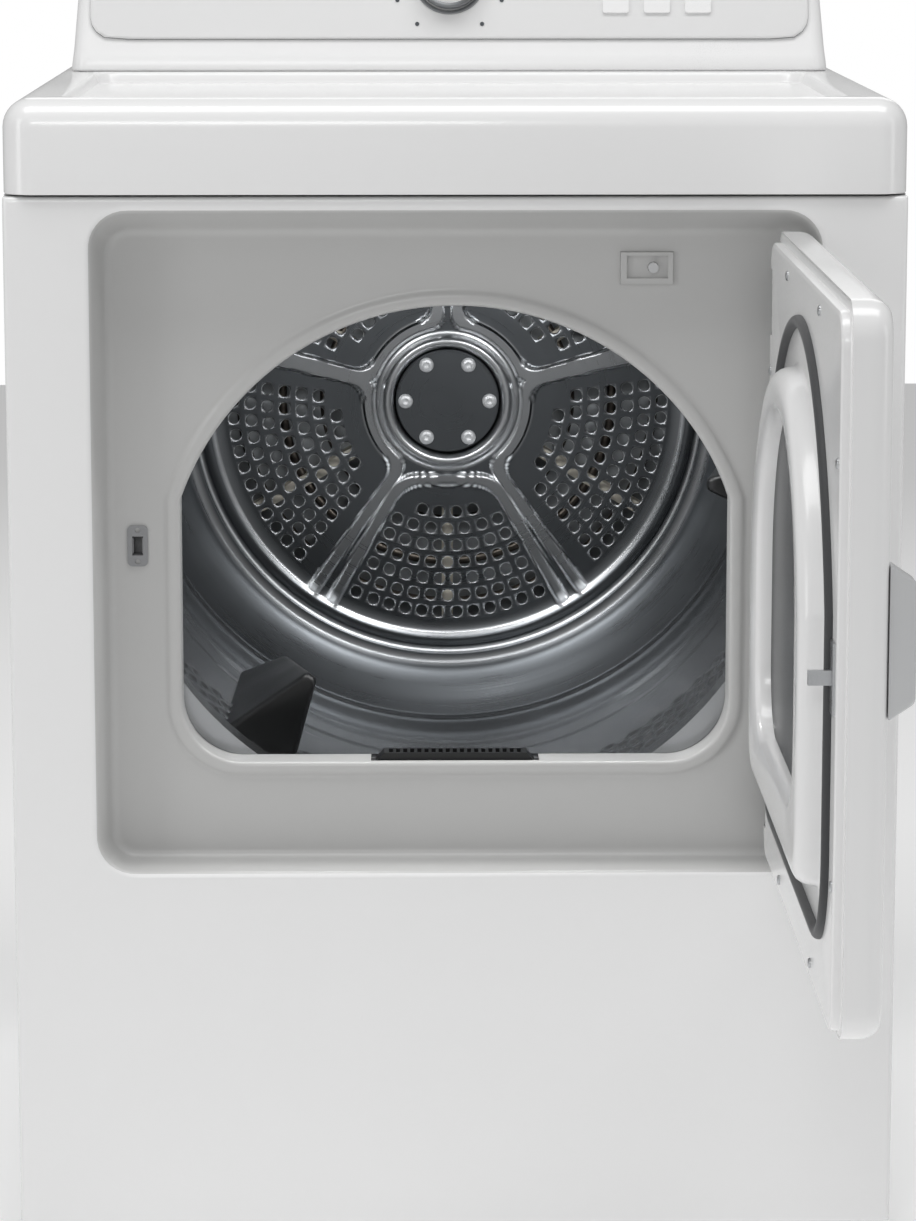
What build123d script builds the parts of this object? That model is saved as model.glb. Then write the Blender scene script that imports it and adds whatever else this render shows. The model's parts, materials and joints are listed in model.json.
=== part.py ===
"""Clothes dryer, front loading, 27 inch class.

Axes: X to the right as the user faces the machine, Y from the front to the back, Z up, z = 0 on the floor.
The pieces are drawn with the front panel's face at y = 0 and then moved back or forward by SHIFT_Y, so that
the part's origin is under the middle of its bounding box with the door open a quarter turn.
"""
from build123d import *
import os
from math import atan2, cos, degrees, radians, sin, sqrt

# ---------------------------------------------------------------- driving dimensions (mm)
CABINET_W = 686.0          # 27 in body
CABINET_D = 640.0          # front panel face to rear panel face
SHEET = 1.2                # panel steel
PANEL_BOTTOM = 22.0        # lower edge of the front, side and rear panels
SEAM_Z = 834.0             # underside of the lid
LID_TOP = 906.0            # rim of the lid
DECK_Z = 897.0             # sunken deck inside the rim
DECK_HALF = 300.0
DECK_FRONT = 18.0
DECK_BACK = 396.0
CONSOLE_TOP = 1075.0

RECESS_Y = 43.0            # depth of the door recess
RECESS_FRONT = (277.4, 308.0, 821.0, 28.0)   # half width, low z, high z, corner radius at the face
RECESS_BACK = (268.7, 311.0, 804.0, 20.0)    # the same at the bottom of the recess

OPEN_HALF = 213.5          # D shaped door opening: half width
OPEN_BOTTOM = 387.0
OPEN_ARC_Z = 519.0         # centre of the arched top
OPEN_ARC_R = 226.0
OPEN_CORNER = 48.0
BULKHEAD_Y = 70.0

DRUM_Z = 600.0             # height of the drum's axis
DRUM_R = 286.0             # outside of the drum's wall
DRUM_WALL = 1.0
DRUM_FRONT = 84.0
DRUM_BACK = 592.0
DRUM_MOUTH_R = 272.0
BACK_HOLE_R = 5.0
BACK_SECTORS = (270.0, 200.5, 339.5, 130.0, 50.0)    # middle of each perforated sector, in degrees
BACK_ROWS = (4, 7, 8, 9, 10, 11, 12)                 # holes in each row, from the hub outwards
BACK_FIRST_ROW = 101.5     # radius of the innermost row
BACK_ROW_STEP = 15.4
BACK_PITCH = 15.6          # along a row
HUB_BOLT_R = 38.0          # pitch radius of the hub bolts
SHAFT_R = 10.0

HINGE_X = 264.0            # door hinge axis, with the door closed
HINGE_Y = 13.0
DOOR_HALF = 270.0
DOOR_LOW = 315.0
DOOR_HIGH = 806.0
DOOR_FACE = 3.0            # outer face of the closed door
DOOR_SPLIT = 30.0          # where the outer shell meets the inner panel
DOOR_INNER = 37.0          # inner face of the closed door
PLUG_TOP = 56.0            # raised middle of the inner panel, in the opening when closed
DISH_Y = 43.0              # floor of the dish in the raised middle
HINGE_HEIGHTS = (368.0, 752.0)
CATCH_X = -246.5
CATCH_Z = 558.5

MOTOR_X = 130.0            # motor and blower share this axis
MOTOR_Z = 142.0
MOTOR_R = 66.0
PULLEY_R = 11.0
BELT_Y = 392.0
BELT_W = 9.0
BELT_T = 2.4
BELT_GAP = 0.35            # the belt's solid stays this far off the drum and pulleys
DUCT_R = 50.8              # 4 in exhaust pipe
DUCT_Z = 88.0
DUCT_OUT = 24.0            # how far the pipe stands out behind the cabinet

FASCIA_LOW = (412.0, 925.0)    # y, z of the console's sloping face, low and high
FASCIA_HIGH = (455.0, 1065.0)
FASCIA_T = 3.0
CONSOLE_WALL = 2.5
DIAL_S = 60.0              # distances up the sloping face
OPTION_S = 36.0
START_S = 84.0
OPTION_X = (141.0, 176.0, 211.0)
START_X = 250.0

TERMINAL_X = -255.0        # terminal block and cord inlet, at the back
TERMINAL_Z = 730.0
LOUVRE_ROWS = 8
PAN_Z = 26.0               # underside of the base pan
FOOT_X = 300.0
FOOT_Y = (60.0, 585.0)

DOOR_REACH = HINGE_X + DOOR_HALF - HINGE_Y       # how far the open door stands out in front
SHIFT_Y = (DOOR_REACH - CABINET_D - DUCT_OUT) / 2

os.makedirs("parts", exist_ok=True)


# ---------------------------------------------------------------- helpers
def block(x0, x1, y0, y1, z0, z1):
    return Pos((x0 + x1) / 2, (y0 + y1) / 2, (z0 + z1) / 2) * Box(x1 - x0, y1 - y0, z1 - z0)


def rod_y(r, y0, y1, x=0.0, z=0.0):
    """A cylinder along Y."""
    return Pos(x, (y0 + y1) / 2, z) * Rot(90, 0, 0) * Cylinder(r, y1 - y0)


def rod_z(r, z0, z1, x=0.0, y=0.0):
    return Pos(x, y, (z0 + z1) / 2) * Cylinder(r, z1 - z0)


def ring_y(r_out, r_in, y0, y1, x=0.0, z=0.0):
    return rod_y(r_out, y0, y1, x, z) - rod_y(r_in, y0 - 1, y1 + 1, x, z)


def slab(outline, y0, y1):
    """Thickens an outline drawn in X and Z from y0 to y1."""
    face = Plane(origin=(0, y1, 0), x_dir=(1, 0, 0), z_dir=(0, -1, 0)) * outline
    return extrude(face, amount=y1 - y0)


def rounded(half, low, high, r):
    return Pos(0, (low + high) / 2) * RectangleRounded(2 * half, high - low, r)


def lathe_y(points, z=DRUM_Z):
    """Turns a closed profile of (radius, y) points about a line along Y at height z."""
    profile = make_face(Polyline(*[(r, y, 0) for r, y in points], close=True))
    turned = revolve(profile, axis=Axis.Y, revolution_arc=360)
    return Pos(0, 0, z) * turned


def d_shape(grow=0.0):
    """The door opening's outline, grown outwards by an offset: straight sides under an arch."""
    half = OPEN_HALF + grow
    r = OPEN_ARC_R + grow
    low = OPEN_BOTTOM - grow
    shoulder = OPEN_ARC_Z + sqrt(r * r - half * half)
    sides = Pos(0, (low + shoulder) / 2) * Rectangle(2 * half, shoulder - low)
    arch = Pos(0, OPEN_ARC_Z) * Circle(r) & Pos(0, shoulder + r) * Rectangle(2 * r, 2 * r)
    outline = sides + arch
    low_corners = outline.vertices().sort_by(Axis.Y)[:2]
    return fillet(low_corners, OPEN_CORNER + grow)


def opened(piece):
    """Turns a piece of the closed door a quarter turn outwards, about the hinge axis."""
    return Pos(HINGE_X, HINGE_Y, 0) * Rot(0, 0, 90) * Pos(-HINGE_X, -HINGE_Y, 0) * piece


def around_drum(piece, angle):
    """Turns a piece about the drum's axis."""
    return Pos(0, 0, DRUM_Z) * Rot(0, -angle, 0) * Pos(0, 0, -DRUM_Z) * piece


def save(name, *pieces):
    moved = [Pos(0, SHIFT_Y, 0) * piece for piece in pieces]
    solids = [solid for piece in moved for solid in piece.solids()]
    export_step(solids[0] if len(solids) == 1 else Compound(children=solids), f"parts/{name}.step")


# ---------------------------------------------------------------- cabinet
HALF_W = CABINET_W / 2
FRONT_FLANGE = 20.0
SIDE_START = FRONT_FLANGE + 0.5


def side_panel(side):
    x_out = side * HALF_W
    x_in = side * (HALF_W - SHEET)
    lo, hi = sorted((x_out, x_in))
    flange_lo, flange_hi = sorted((x_in, side * (HALF_W - 16)))
    wall = block(lo, hi, SIDE_START, CABINET_D - SHEET - 0.2, PANEL_BOTTOM, SEAM_Z - 1)
    front = block(flange_lo, flange_hi, SIDE_START, SIDE_START + SHEET, PANEL_BOTTOM, SEAM_Z - 1)
    low = block(flange_lo, flange_hi, SIDE_START, CABINET_D - 20, PANEL_BOTTOM, PANEL_BOTTOM + SHEET)
    return wall + front + low


def front_panel():
    """Outer sheet with turned edges, the tapered door recess and the raised lip round the opening."""
    high = SEAM_Z - 1.5
    skin = block(-HALF_W, HALF_W, 0, FRONT_FLANGE, PANEL_BOTTOM, high)
    upright = skin.edges().filter_by(Axis.Z).group_by(Axis.Y)[0]
    skin = fillet(upright, 5)
    skin -= block(-HALF_W + SHEET, HALF_W - SHEET, SHEET, 30, PANEL_BOTTOM + SHEET, high - SHEET)

    def recess(grow):
        half, low, top, r = RECESS_FRONT
        near = Plane(origin=(0, -grow, 0), x_dir=(1, 0, 0), z_dir=(0, -1, 0)) * rounded(
            half + grow, low - grow, top + grow, r + grow)
        half, low, top, r = RECESS_BACK
        far = Plane(origin=(0, RECESS_Y + grow, 0), x_dir=(1, 0, 0), z_dir=(0, -1, 0)) * rounded(
            half + grow, low - grow, top + grow, r + grow)
        return loft([near, far], ruled=True)

    body = skin + (recess(SHEET) & block(-400, 400, 0, 100, 200, 900)) - recess(0)
    body += slab(d_shape(10.0), RECESS_Y - 3, RECESS_Y + SHEET)
    body += slab(d_shape(SHEET), RECESS_Y, BULKHEAD_Y - 0.5)
    body -= slab(d_shape(), 30, 90)
    body -= block(-66, 66, RECESS_Y + SHEET, BULKHEAD_Y, 380, 390)
    body -= block(126.8, 167.7, 30, 60, 761.5, 786.5)
    body -= block(CATCH_X - 6, CATCH_X + 6, 30, 60, CATCH_Z - 10, CATCH_Z + 10)
    return body


def front_bulkhead():
    """Inner front wall with the ring that the drum's mouth turns on."""
    wall = block(-300, 300, BULKHEAD_Y, BULKHEAD_Y + SHEET, 300, 885)
    ring = ring_y(DRUM_MOUTH_R - 7, DRUM_MOUTH_R - 8.2, BULKHEAD_Y, DRUM_FRONT + 14, z=DRUM_Z)
    mouth = slab(d_shape(), 60, 90) & rod_y(DRUM_MOUTH_R - 8.2, 60, 90, z=DRUM_Z)
    return wall + ring - mouth - rod_y(DRUM_MOUTH_R - 8.2, BULKHEAD_Y + SHEET, 120, z=DRUM_Z)


def rear_panel():
    panel = block(-HALF_W, HALF_W, CABINET_D - SHEET, CABINET_D, PANEL_BOTTOM, SEAM_Z - 1)
    panel -= rod_y(DUCT_R + 1.5, 600, 660, 0, DUCT_Z)
    panel -= rod_y(14.3, 600, 660, TERMINAL_X, TERMINAL_Z - 66)
    panel -= block(TERMINAL_X - 30, TERMINAL_X + 30, 600, 660, TERMINAL_Z - 22, TERMINAL_Z + 22)
    for row in range(LOUVRE_ROWS):
        z = 300 + row * 16
        for x in (-225, 225):
            panel -= Pos(x, CABINET_D, z) * Rot(90, 0, 0) * extrude(SlotOverall(70, 5), 4, both=True)
    return panel


save("left_side", side_panel(-1))
save("right_side", side_panel(1))
save("front_panel", front_panel())
save("rear_panel", rear_panel())
save("front_bulkhead", front_bulkhead())

pan = block(-338, 338, 24, CABINET_D - 4, PAN_Z, PAN_Z + 1.5)
pan += block(-338, -336.8, 24, CABINET_D - 4, PAN_Z, 46) + block(336.8, 338, 24, CABINET_D - 4, PAN_Z, 46)
pan += block(-338, 338, 24, 25.2, PAN_Z, 46) + block(-338, 338, CABINET_D - 5.2, CABINET_D - 4, PAN_Z, 46)
feet = []
foot_nuts = []
for foot_x in (-FOOT_X, FOOT_X):
    for foot_y in FOOT_Y:
        pan -= rod_z(5.4, 20, 40, foot_x, foot_y)
        pad = Pos(foot_x, foot_y, 0) * extrude(Circle(19), 9) + rod_z(13, 9, 15, foot_x, foot_y)
        feet.append(pad + rod_z(5, 15, 52, foot_x, foot_y))
        nut = Pos(foot_x, foot_y, PAN_Z - 6.2) * extrude(RegularPolygon(9, 6), 6)
        foot_nuts.append(nut - rod_z(5.05, 10, 40, foot_x, foot_y))
save("base_pan", pan - rod_y(DUCT_R + 1, 600, 660, 0, DUCT_Z))
save("leveling_feet", *feet, *foot_nuts)


def top_lid():
    """Pressed lid: rounded front and sides, a raised rim and, in front of the console, a sunken deck."""
    outer = block(-HALF_W, HALF_W, -4, CABINET_D, SEAM_Z, LID_TOP)
    outer = fillet(outer.edges().filter_by(Axis.Z).group_by(Axis.Y)[0], 24)
    rim = outer.faces().sort_by(Axis.Z)[-1].edges().filter_by(lambda e: e.center().Y < CABINET_D - 1)
    outer = fillet(rim, 22)

    def deck(grow):
        pocket = Pos(0, (DECK_FRONT + DECK_BACK) / 2) * RectangleRounded(
            2 * (DECK_HALF + grow), DECK_BACK - DECK_FRONT + 2 * grow, 20 + grow)
        return Pos(0, 0, DECK_Z - grow) * extrude(pocket, LID_TOP - DECK_Z + 3)

    skirt = block(-HALF_W + 1.6, HALF_W - 1.6, -2.4, CABINET_D - 1.6, SEAM_Z - 1, LID_TOP - 25)
    skirt = fillet(skirt.edges().filter_by(Axis.Z).group_by(Axis.Y)[0], 22.4)
    crown = block(-HALF_W + 22, HALF_W - 22, 18, CABINET_D - 4, LID_TOP - 30, LID_TOP - 1.6)
    return outer - skirt - (crown - deck(1.6)) - deck(0)


save("top_lid", top_lid())

# ---------------------------------------------------------------- console
SLOPE = atan2(FASCIA_HIGH[0] - FASCIA_LOW[0], FASCIA_HIGH[1] - FASCIA_LOW[1])
CONSOLE_BACK = 606.0


def on_slope(x, s, out=0.0):
    """A plane on the console's sloping face: x across, s up the slope, and z straight out of it."""
    y = FASCIA_LOW[0] + s * sin(SLOPE) - out * cos(SLOPE)
    z = FASCIA_LOW[1] + s * cos(SLOPE) + out * sin(SLOPE)
    return Plane(origin=(x, y, z), x_dir=(1, 0, 0), z_dir=(0, -cos(SLOPE), sin(SLOPE)))


def console_block(inset):
    """The console's outside, drawn as a side view and a front view that are cut by one another."""
    low = LID_TOP + 0.2
    side = make_face(Polyline(
        (406 + inset, low), (FASCIA_LOW[0] + inset, FASCIA_LOW[1]),
        (FASCIA_HIGH[0] + inset, FASCIA_HIGH[1] - inset), (474, CONSOLE_TOP - inset),
        (CONSOLE_BACK - inset, CONSOLE_TOP - inset), (CONSOLE_BACK - inset, low), close=True))
    swept = extrude(Plane(origin=(-400, 0, 0), x_dir=(0, 1, 0), z_dir=(1, 0, 0)) * side, amount=800)
    front = make_face(Polyline(
        (-321 + inset, LID_TOP - 5), (-316 + inset, 966), (-302 + inset, CONSOLE_TOP - inset),
        (302 - inset, CONSOLE_TOP - inset), (316 - inset, 966), (321 - inset, LID_TOP - 5), close=True))
    front = fillet(front.vertices().sort_by(Axis.Y)[-2:], 26)
    return swept & slab(front, 380, 640)


shell = console_block(0) - console_block(CONSOLE_WALL)
shell -= block(-280, 280, CONSOLE_BACK - 3, CONSOLE_BACK + 3, LID_TOP + 8, CONSOLE_TOP - 14)
shell -= extrude(on_slope(0, DIAL_S) * Circle(8), amount=8, both=True)
shell -= extrude(on_slope(START_X, START_S) * Circle(12), amount=8, both=True)
fascia = extrude(on_slope(0, 72) * RectangleRounded(610, 128, 20), amount=FASCIA_T)
fascia -= extrude(on_slope(0, DIAL_S) * Circle(8), amount=8, both=True)
fascia -= extrude(on_slope(START_X, START_S) * Circle(13.4), amount=8, both=True)
for option_x in OPTION_X:
    hole = extrude(on_slope(option_x, OPTION_S) * RectangleRounded(22.8, 12.8, 2.4), amount=8, both=True)
    shell -= extrude(on_slope(option_x, OPTION_S) * RectangleRounded(14, 7, 1), amount=8, both=True)
    fascia -= hole
save("console_shell", shell)
save("console_fascia", fascia)
save("console_rear_cover", block(-279.5, 279.5, CONSOLE_BACK - 2, CONSOLE_BACK, LID_TOP + 8.5, CONSOLE_TOP - 14.5))


save("dial_bezel", extrude(on_slope(0, DIAL_S, FASCIA_T) * (Circle(31) - Circle(8)), amount=1.2))
knob = extrude(on_slope(0, DIAL_S, FASCIA_T + 1.5) * Circle(27), amount=7)
knob += extrude(on_slope(0, DIAL_S, FASCIA_T + 8.5) * Circle(23), amount=13, taper=6)
knob += extrude(on_slope(0, DIAL_S, -17) * Circle(3), amount=22)
save("dial_knob", knob)
encoder = extrude(on_slope(0, DIAL_S, -24) * Rectangle(24, 24), amount=20.8)
encoder -= extrude(on_slope(0, DIAL_S, -18) * Circle(3.06), amount=40)


def option_button(x):
    cap = extrude(on_slope(x, OPTION_S, 1.7) * RectangleRounded(22, 12, 2), amount=3.3)
    return cap + extrude(on_slope(x, OPTION_S, -6.5) * RectangleRounded(12, 5, 1), amount=8.5)


for option_name, option_x in zip(("temperature", "dryness", "time"), OPTION_X):
    save(f"{option_name}_button", option_button(option_x))
start = extrude(on_slope(START_X, START_S, 3.6) * Circle(13), amount=4.4)
save("start_button", start + extrude(on_slope(START_X, START_S, -8) * Circle(6), amount=12))
start_switch = extrude(on_slope(START_X, START_S, -26) * Rectangle(22, 22), amount=14)
save("console_switches", encoder, start_switch)
option_board = extrude(on_slope(176, OPTION_S, -10) * Rectangle(120, 40), amount=1.6)
save("control_boards", option_board, block(-150, 60, 560, 562, 930, 1030))
lenses = []
for step in range(10):
    turn = radians(-55 + step * 290 / 9)
    lens_x, lens_s = 48 * cos(turn), DIAL_S + 48 * sin(turn)
    lenses.append(extrude(on_slope(lens_x, lens_s, FASCIA_T) * Circle(1.8), amount=0.4))
save("indicator_lenses", *lenses)

# ---------------------------------------------------------------- drum
drum_in = DRUM_R - DRUM_WALL


def drum_shell():
    """Rolled wall: an inward front flange, two beads and a rear edge that laps the drum back."""
    outer = [(DRUM_MOUTH_R, DRUM_FRONT), (DRUM_R, DRUM_FRONT)]
    inner = []
    for bead_y in (150.0, 470.0):
        outer += [(DRUM_R, bead_y - 12), (DRUM_R + 4, bead_y - 5), (DRUM_R + 4, bead_y + 5), (DRUM_R, bead_y + 12)]
        inner += [(drum_in, bead_y - 12), (drum_in + 4, bead_y - 5), (drum_in + 4, bead_y + 5),
                  (drum_in, bead_y + 12)]
    outer += [(DRUM_R, DRUM_BACK)]
    inner = [(DRUM_MOUTH_R, DRUM_FRONT + DRUM_WALL), (drum_in, DRUM_FRONT + DRUM_WALL)] + inner
    inner += [(drum_in, DRUM_BACK)]
    return lathe_y(outer + inner[::-1])


BACK_FACE = [(9.0, 603.0), (46.5, 603.0), (51.0, 594.0), (57.5, 594.0), (61.5, 600.0), (212.0, 600.0),
             (216.5, 596.0), (224.0, 596.0), (228.0, 599.0), (231.0, 596.5), (239.0, 596.5), (244.0, 592.0),
             (284.9, 578.0), (284.9, 592.0)]
BACK_T = 1.2


def hole_rows():
    """Holes of one sector, in arcs about the drum's axis: (radius, angle from the sector's middle)."""
    spots = []
    for row, count in enumerate(BACK_ROWS):
        r = BACK_FIRST_ROW + row * BACK_ROW_STEP
        for i in range(count):
            spots.append((r, degrees((i - (count - 1) / 2) * BACK_PITCH / r)))
    return spots


def drum_back():
    front = BACK_FACE
    rear = [(r, y + BACK_T) for r, y in BACK_FACE[:-1]]
    rear[-1] = (283.7, rear[-1][1])
    back = lathe_y([*front, (283.7, 592.0), *rear[::-1]])
    holes = []
    for sector in BACK_SECTORS:
        for r, offset in hole_rows():
            turn = radians(sector + offset)
            holes.append(rod_y(BACK_HOLE_R, 596, 606, r * cos(turn), DRUM_Z + r * sin(turn)))
    return back - holes


def fin(angle):
    """Lifting vane, a leaning wedge that is tallest at the front, on the drum's wall at an angle."""
    foot_r = drum_in - 0.1
    lean = 16.0

    def section(height, width):
        base_a = radians(angle - width / 2)
        base_b = radians(angle + width / 2)
        tip = radians(angle + lean * 0.1)
        tip_r = foot_r - height
        return [(foot_r * cos(base_a), DRUM_Z + foot_r * sin(base_a)),
                (tip_r * cos(tip - 0.035), DRUM_Z + tip_r * sin(tip - 0.035)),
                (tip_r * cos(tip + 0.035), DRUM_Z + tip_r * sin(tip + 0.035)),
                (foot_r * cos(base_b), DRUM_Z + foot_r * sin(base_b))]

    def plane(y):
        return Plane(origin=(0, y, 0), x_dir=(1, 0, 0), z_dir=(0, -1, 0))

    near = plane(170) * make_face(Polyline(*section(80, 16), close=True))
    far = plane(450) * make_face(Polyline(*section(34, 14), close=True))
    return loft([near, far], ruled=True)


save("drum_shell", drum_shell())
save("drum_back", drum_back())
save("drum_vanes", *[fin(angle) for angle in (236, 356, 116)])
plate = rod_y(45.5, 600, 602.8, z=DRUM_Z)
bolts = []
for k in range(6):
    turn = radians(60 * k)
    bolt_x, bolt_z = HUB_BOLT_R * cos(turn), DRUM_Z + HUB_BOLT_R * sin(turn)
    bolts.append(rod_y(6.6, 596, 600, bolt_x, bolt_z))
save("hub_bolts", *bolts)
shaft = rod_y(48, 604.4, 607.4, z=DRUM_Z) + rod_y(SHAFT_R, 607, 632, z=DRUM_Z)
save("drum_hub", plate, shaft + rod_y(8.8, 603, 604.6, z=DRUM_Z))
save("drum_bearing", ring_y(16, SHAFT_R + 0.05, 616, 631, z=DRUM_Z))

# ---------------------------------------------------------------- heater behind the drum
housing = rod_y(216, 611, 637.5, z=DRUM_Z) - rod_y(214.8, 610, 636.3, z=DRUM_Z)
housing += ring_y(240, 214.8, 611, 612.2, z=DRUM_Z)
housing += ring_y(20, 16.1, 614, 636.5, z=DRUM_Z)
save("heater_housing", housing)
rear_felt = ring_y(238, 226, 602.8, 610.8, z=DRUM_Z)
coils = [Pos(0, 624, DRUM_Z) * Rot(90, 0, 0) * Torus(r, 4) for r in (112, 150, 188)]
save("heater_coils", *coils)
insulators = []
for k in range(6):
    arm = block(98, 202, 616, 636.2, DRUM_Z - 5, DRUM_Z + 5)
    for r in (112, 150, 188):
        arm -= Pos(0, 624, DRUM_Z) * Rot(90, 0, 0) * Torus(r, 4.3)
    insulators.append(around_drum(arm, 60 * k + 30))
save("coil_insulators", *insulators)
limit_thermostat = rod_y(12, 628, 636, -60, DRUM_Z + 130)
limit_thermostat += block(-72, -48, 634, 636.2, DRUM_Z + 122, DRUM_Z + 138)

# ---------------------------------------------------------------- front seal and glides
front_felt = ring_y(DRUM_MOUTH_R - 0.5, DRUM_MOUTH_R - 6.8, BULKHEAD_Y + 2, DRUM_FRONT - 1, z=DRUM_Z)
save("felt_seals", front_felt, rear_felt)
glides = []
for angle in (60, 120, 240, 300):
    glide = ring_y(DRUM_MOUTH_R - 0.4, DRUM_MOUTH_R - 6.9, DRUM_FRONT - 0.7, DRUM_FRONT + 10, z=DRUM_Z)
    glides.append(around_drum(glide & block(240, 290, 60, 120, DRUM_Z - 26, DRUM_Z + 26), angle))
save("drum_glides", *glides)

# ---------------------------------------------------------------- motor, blower and belt
PULLEY_Y0, PULLEY_Y1 = BELT_Y - 8, BELT_Y + 8
motor = rod_y(MOTOR_R, 236, 372, MOTOR_X, MOTOR_Z) + rod_y(24, 226, 382, MOTOR_X, MOTOR_Z)
save("drive_motor", motor - rod_y(7.06, 200, 400, MOTOR_X, MOTOR_Z))
rotor = rod_y(7, 132, 403, MOTOR_X, MOTOR_Z)
rotor += rod_y(PULLEY_R, PULLEY_Y0, PULLEY_Y1, MOTOR_X, MOTOR_Z)
rotor += rod_y(PULLEY_R + 4, PULLEY_Y0, PULLEY_Y0 + 2, MOTOR_X, MOTOR_Z)
rotor += rod_y(PULLEY_R + 4, PULLEY_Y1 - 2, PULLEY_Y1, MOTOR_X, MOTOR_Z)
save("motor_shaft", rotor)
bracket = block(62, 198, 240, 368, PAN_Z + 1.5, PAN_Z + 4)
for y in (244, 344):
    cradle = block(70, 190, y, y + 20, PAN_Z + 3, 120)
    bracket += cradle - rod_y(MOTOR_R + 0.2, 200, 400, MOTOR_X, MOTOR_Z)
straps = [ring_y(MOTOR_R + 2.2, MOTOR_R + 0.2, y, y + 20, MOTOR_X, MOTOR_Z) & block(0, 260, y, y + 20, 120.2, 260)
          for y in (244, 344)]
save("motor_mount", bracket, *straps)

BLOWER_R = 104.0
BLOWER_Y0, BLOWER_Y1 = 118.0, 204.0
scroll = rod_y(BLOWER_R, BLOWER_Y0, BLOWER_Y1, MOTOR_X, MOTOR_Z) + block(-62, MOTOR_X, BLOWER_Y0, BLOWER_Y1, 38, 142)
inside = rod_y(BLOWER_R - 2, BLOWER_Y0 + 2, BLOWER_Y1 - 2, MOTOR_X, MOTOR_Z)
inside += block(-60, MOTOR_X, BLOWER_Y0 + 2, BLOWER_Y1 - 2, 40, 140)
scroll -= inside
scroll -= rod_y(60, 100, 130, MOTOR_X, MOTOR_Z)
scroll -= rod_y(9, 190, 220, MOTOR_X, MOTOR_Z)
scroll -= rod_y(DUCT_R - 1, 190, 220, 0, DUCT_Z)
save("blower_housing", scroll)
wheel = rod_y(84, 184, 188, MOTOR_X, MOTOR_Z) + ring_y(84, 70, 132, 135, MOTOR_X, MOTOR_Z)
wheel += rod_y(14, 150, 186, MOTOR_X, MOTOR_Z)
for k in range(24):
    blade = block(64, 83, 134, 185, -0.9, 0.9)
    wheel += Pos(MOTOR_X, 0, MOTOR_Z) * Rot(0, 15 * k, 0) * blade
save("blower_wheel", wheel - rod_y(7.02, 120, 200, MOTOR_X, MOTOR_Z))
pipe = ring_y(DUCT_R - 1, DUCT_R - 2, BLOWER_Y1 + 0.1, CABINET_D, 0, DUCT_Z)
pipe += ring_y(DUCT_R, DUCT_R - 2, CABINET_D, CABINET_D + DUCT_OUT, 0, DUCT_Z)
save("exhaust_pipe", pipe)
save("thermostats", limit_thermostat, rod_z(10, 142.2, 156, -30, 160) + block(-44, -16, 152, 168, 142.1, 144))

plenum = block(-72, 206, 46, 117.8, 50, 262) - block(-70.5, 204.5, 47.5, 116.3, 51.5, 260.5)
plenum += block(-70, 70, 45.5, 68.5, 260.5, 384.5)
plenum -= block(-68.5, 68.5, 47, 67, 250, 390)
plenum -= rod_y(60, 100, 130, MOTOR_X, MOTOR_Z)
save("lint_duct", plenum)
cap = slab(make_face(Polyline((-62.5, 385.2), (62.5, 385.2), (56, 392.5), (-56, 392.5), close=True)), 47.6, 66.4)
for k in range(19):
    slot_x = -50.4 + k * 5.6
    cap -= block(slot_x - 1.6, slot_x + 1.6, 50, 64, 380, 400)
frame_low = 205.0
filter_frame = block(-60, 60, 51, 63, frame_low, 386) - block(-54, 54, 40, 70, frame_low + 6, 379)
screen = block(-53.7, 53.7, 56.6, 57.4, frame_low + 6.3, 378.7)
save("lint_filter", cap + (filter_frame - block(-54, 54, 52, 62, frame_low + 6, 400)), screen)

# Idler: its wheel rests on the outside of the belt's slack strand.
IDLER_R = 24.0
belt_in = DRUM_R + BELT_GAP
pulley_in = PULLEY_R + BELT_GAP
dx, dz = MOTOR_X, MOTOR_Z - DRUM_Z
span = sqrt(dx * dx + dz * dz)
line_angle = atan2(dz, dx)
tilt = atan2(sqrt(span ** 2 - (belt_in - pulley_in) ** 2), belt_in - pulley_in)


def strand(sign, r_drum, r_pulley):
    """Ends of one straight strand: a tangent to the circle round the drum and the one round the pulley."""
    turn = line_angle + sign * tilt
    return ((r_drum * cos(turn), DRUM_Z + r_drum * sin(turn)),
            (MOTOR_X + r_pulley * cos(turn), MOTOR_Z + r_pulley * sin(turn)))


def belt_outline(grow):
    left = strand(-1, belt_in + grow, pulley_in + grow)
    right = strand(1, belt_in + grow, pulley_in + grow)
    web = make_face(Polyline(left[0], left[1], right[1], right[0], close=True))
    return web + Pos(0, DRUM_Z) * Circle(belt_in + grow) + Pos(MOTOR_X, MOTOR_Z) * Circle(pulley_in + grow)


belt = slab(belt_outline(BELT_T), BELT_Y - BELT_W / 2, BELT_Y + BELT_W / 2)
belt -= slab(belt_outline(0), BELT_Y - BELT_W, BELT_Y + BELT_W)
save("drive_belt", belt)
slack_turn = line_angle - tilt
slack_start, slack_end = strand(-1, belt_in + BELT_T, pulley_in + BELT_T)
along = 0.62
idler_off = IDLER_R + BELT_GAP
idler_x = slack_start[0] + along * (slack_end[0] - slack_start[0]) + idler_off * cos(slack_turn)
idler_z = slack_start[1] + along * (slack_end[1] - slack_start[1]) + idler_off * sin(slack_turn)
ARM_X, ARM_Z = -20.0, 172.0
arm_y0, arm_y1 = BELT_Y - 16, BELT_Y - 12
arm_angle = degrees(atan2(idler_z - ARM_Z, idler_x - ARM_X))
arm_len = sqrt((idler_x - ARM_X) ** 2 + (idler_z - ARM_Z) ** 2)
arm = extrude(SlotCenterToCenter(arm_len, 24), 4)
arm = Pos((idler_x + ARM_X) / 2, arm_y1, (idler_z + ARM_Z) / 2) * Rot(90, 0, 0) * Rot(0, 0, arm_angle) * arm
arm += rod_y(4, arm_y1 - 1, BELT_Y + 8, idler_x, idler_z)
save("idler_arm", arm - rod_y(5.06, 350, 420, ARM_X, ARM_Z))
wheel = ring_y(IDLER_R, 4.05, BELT_Y - 7, BELT_Y + 7, idler_x, idler_z)
save("idler_pulley", wheel)
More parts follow.
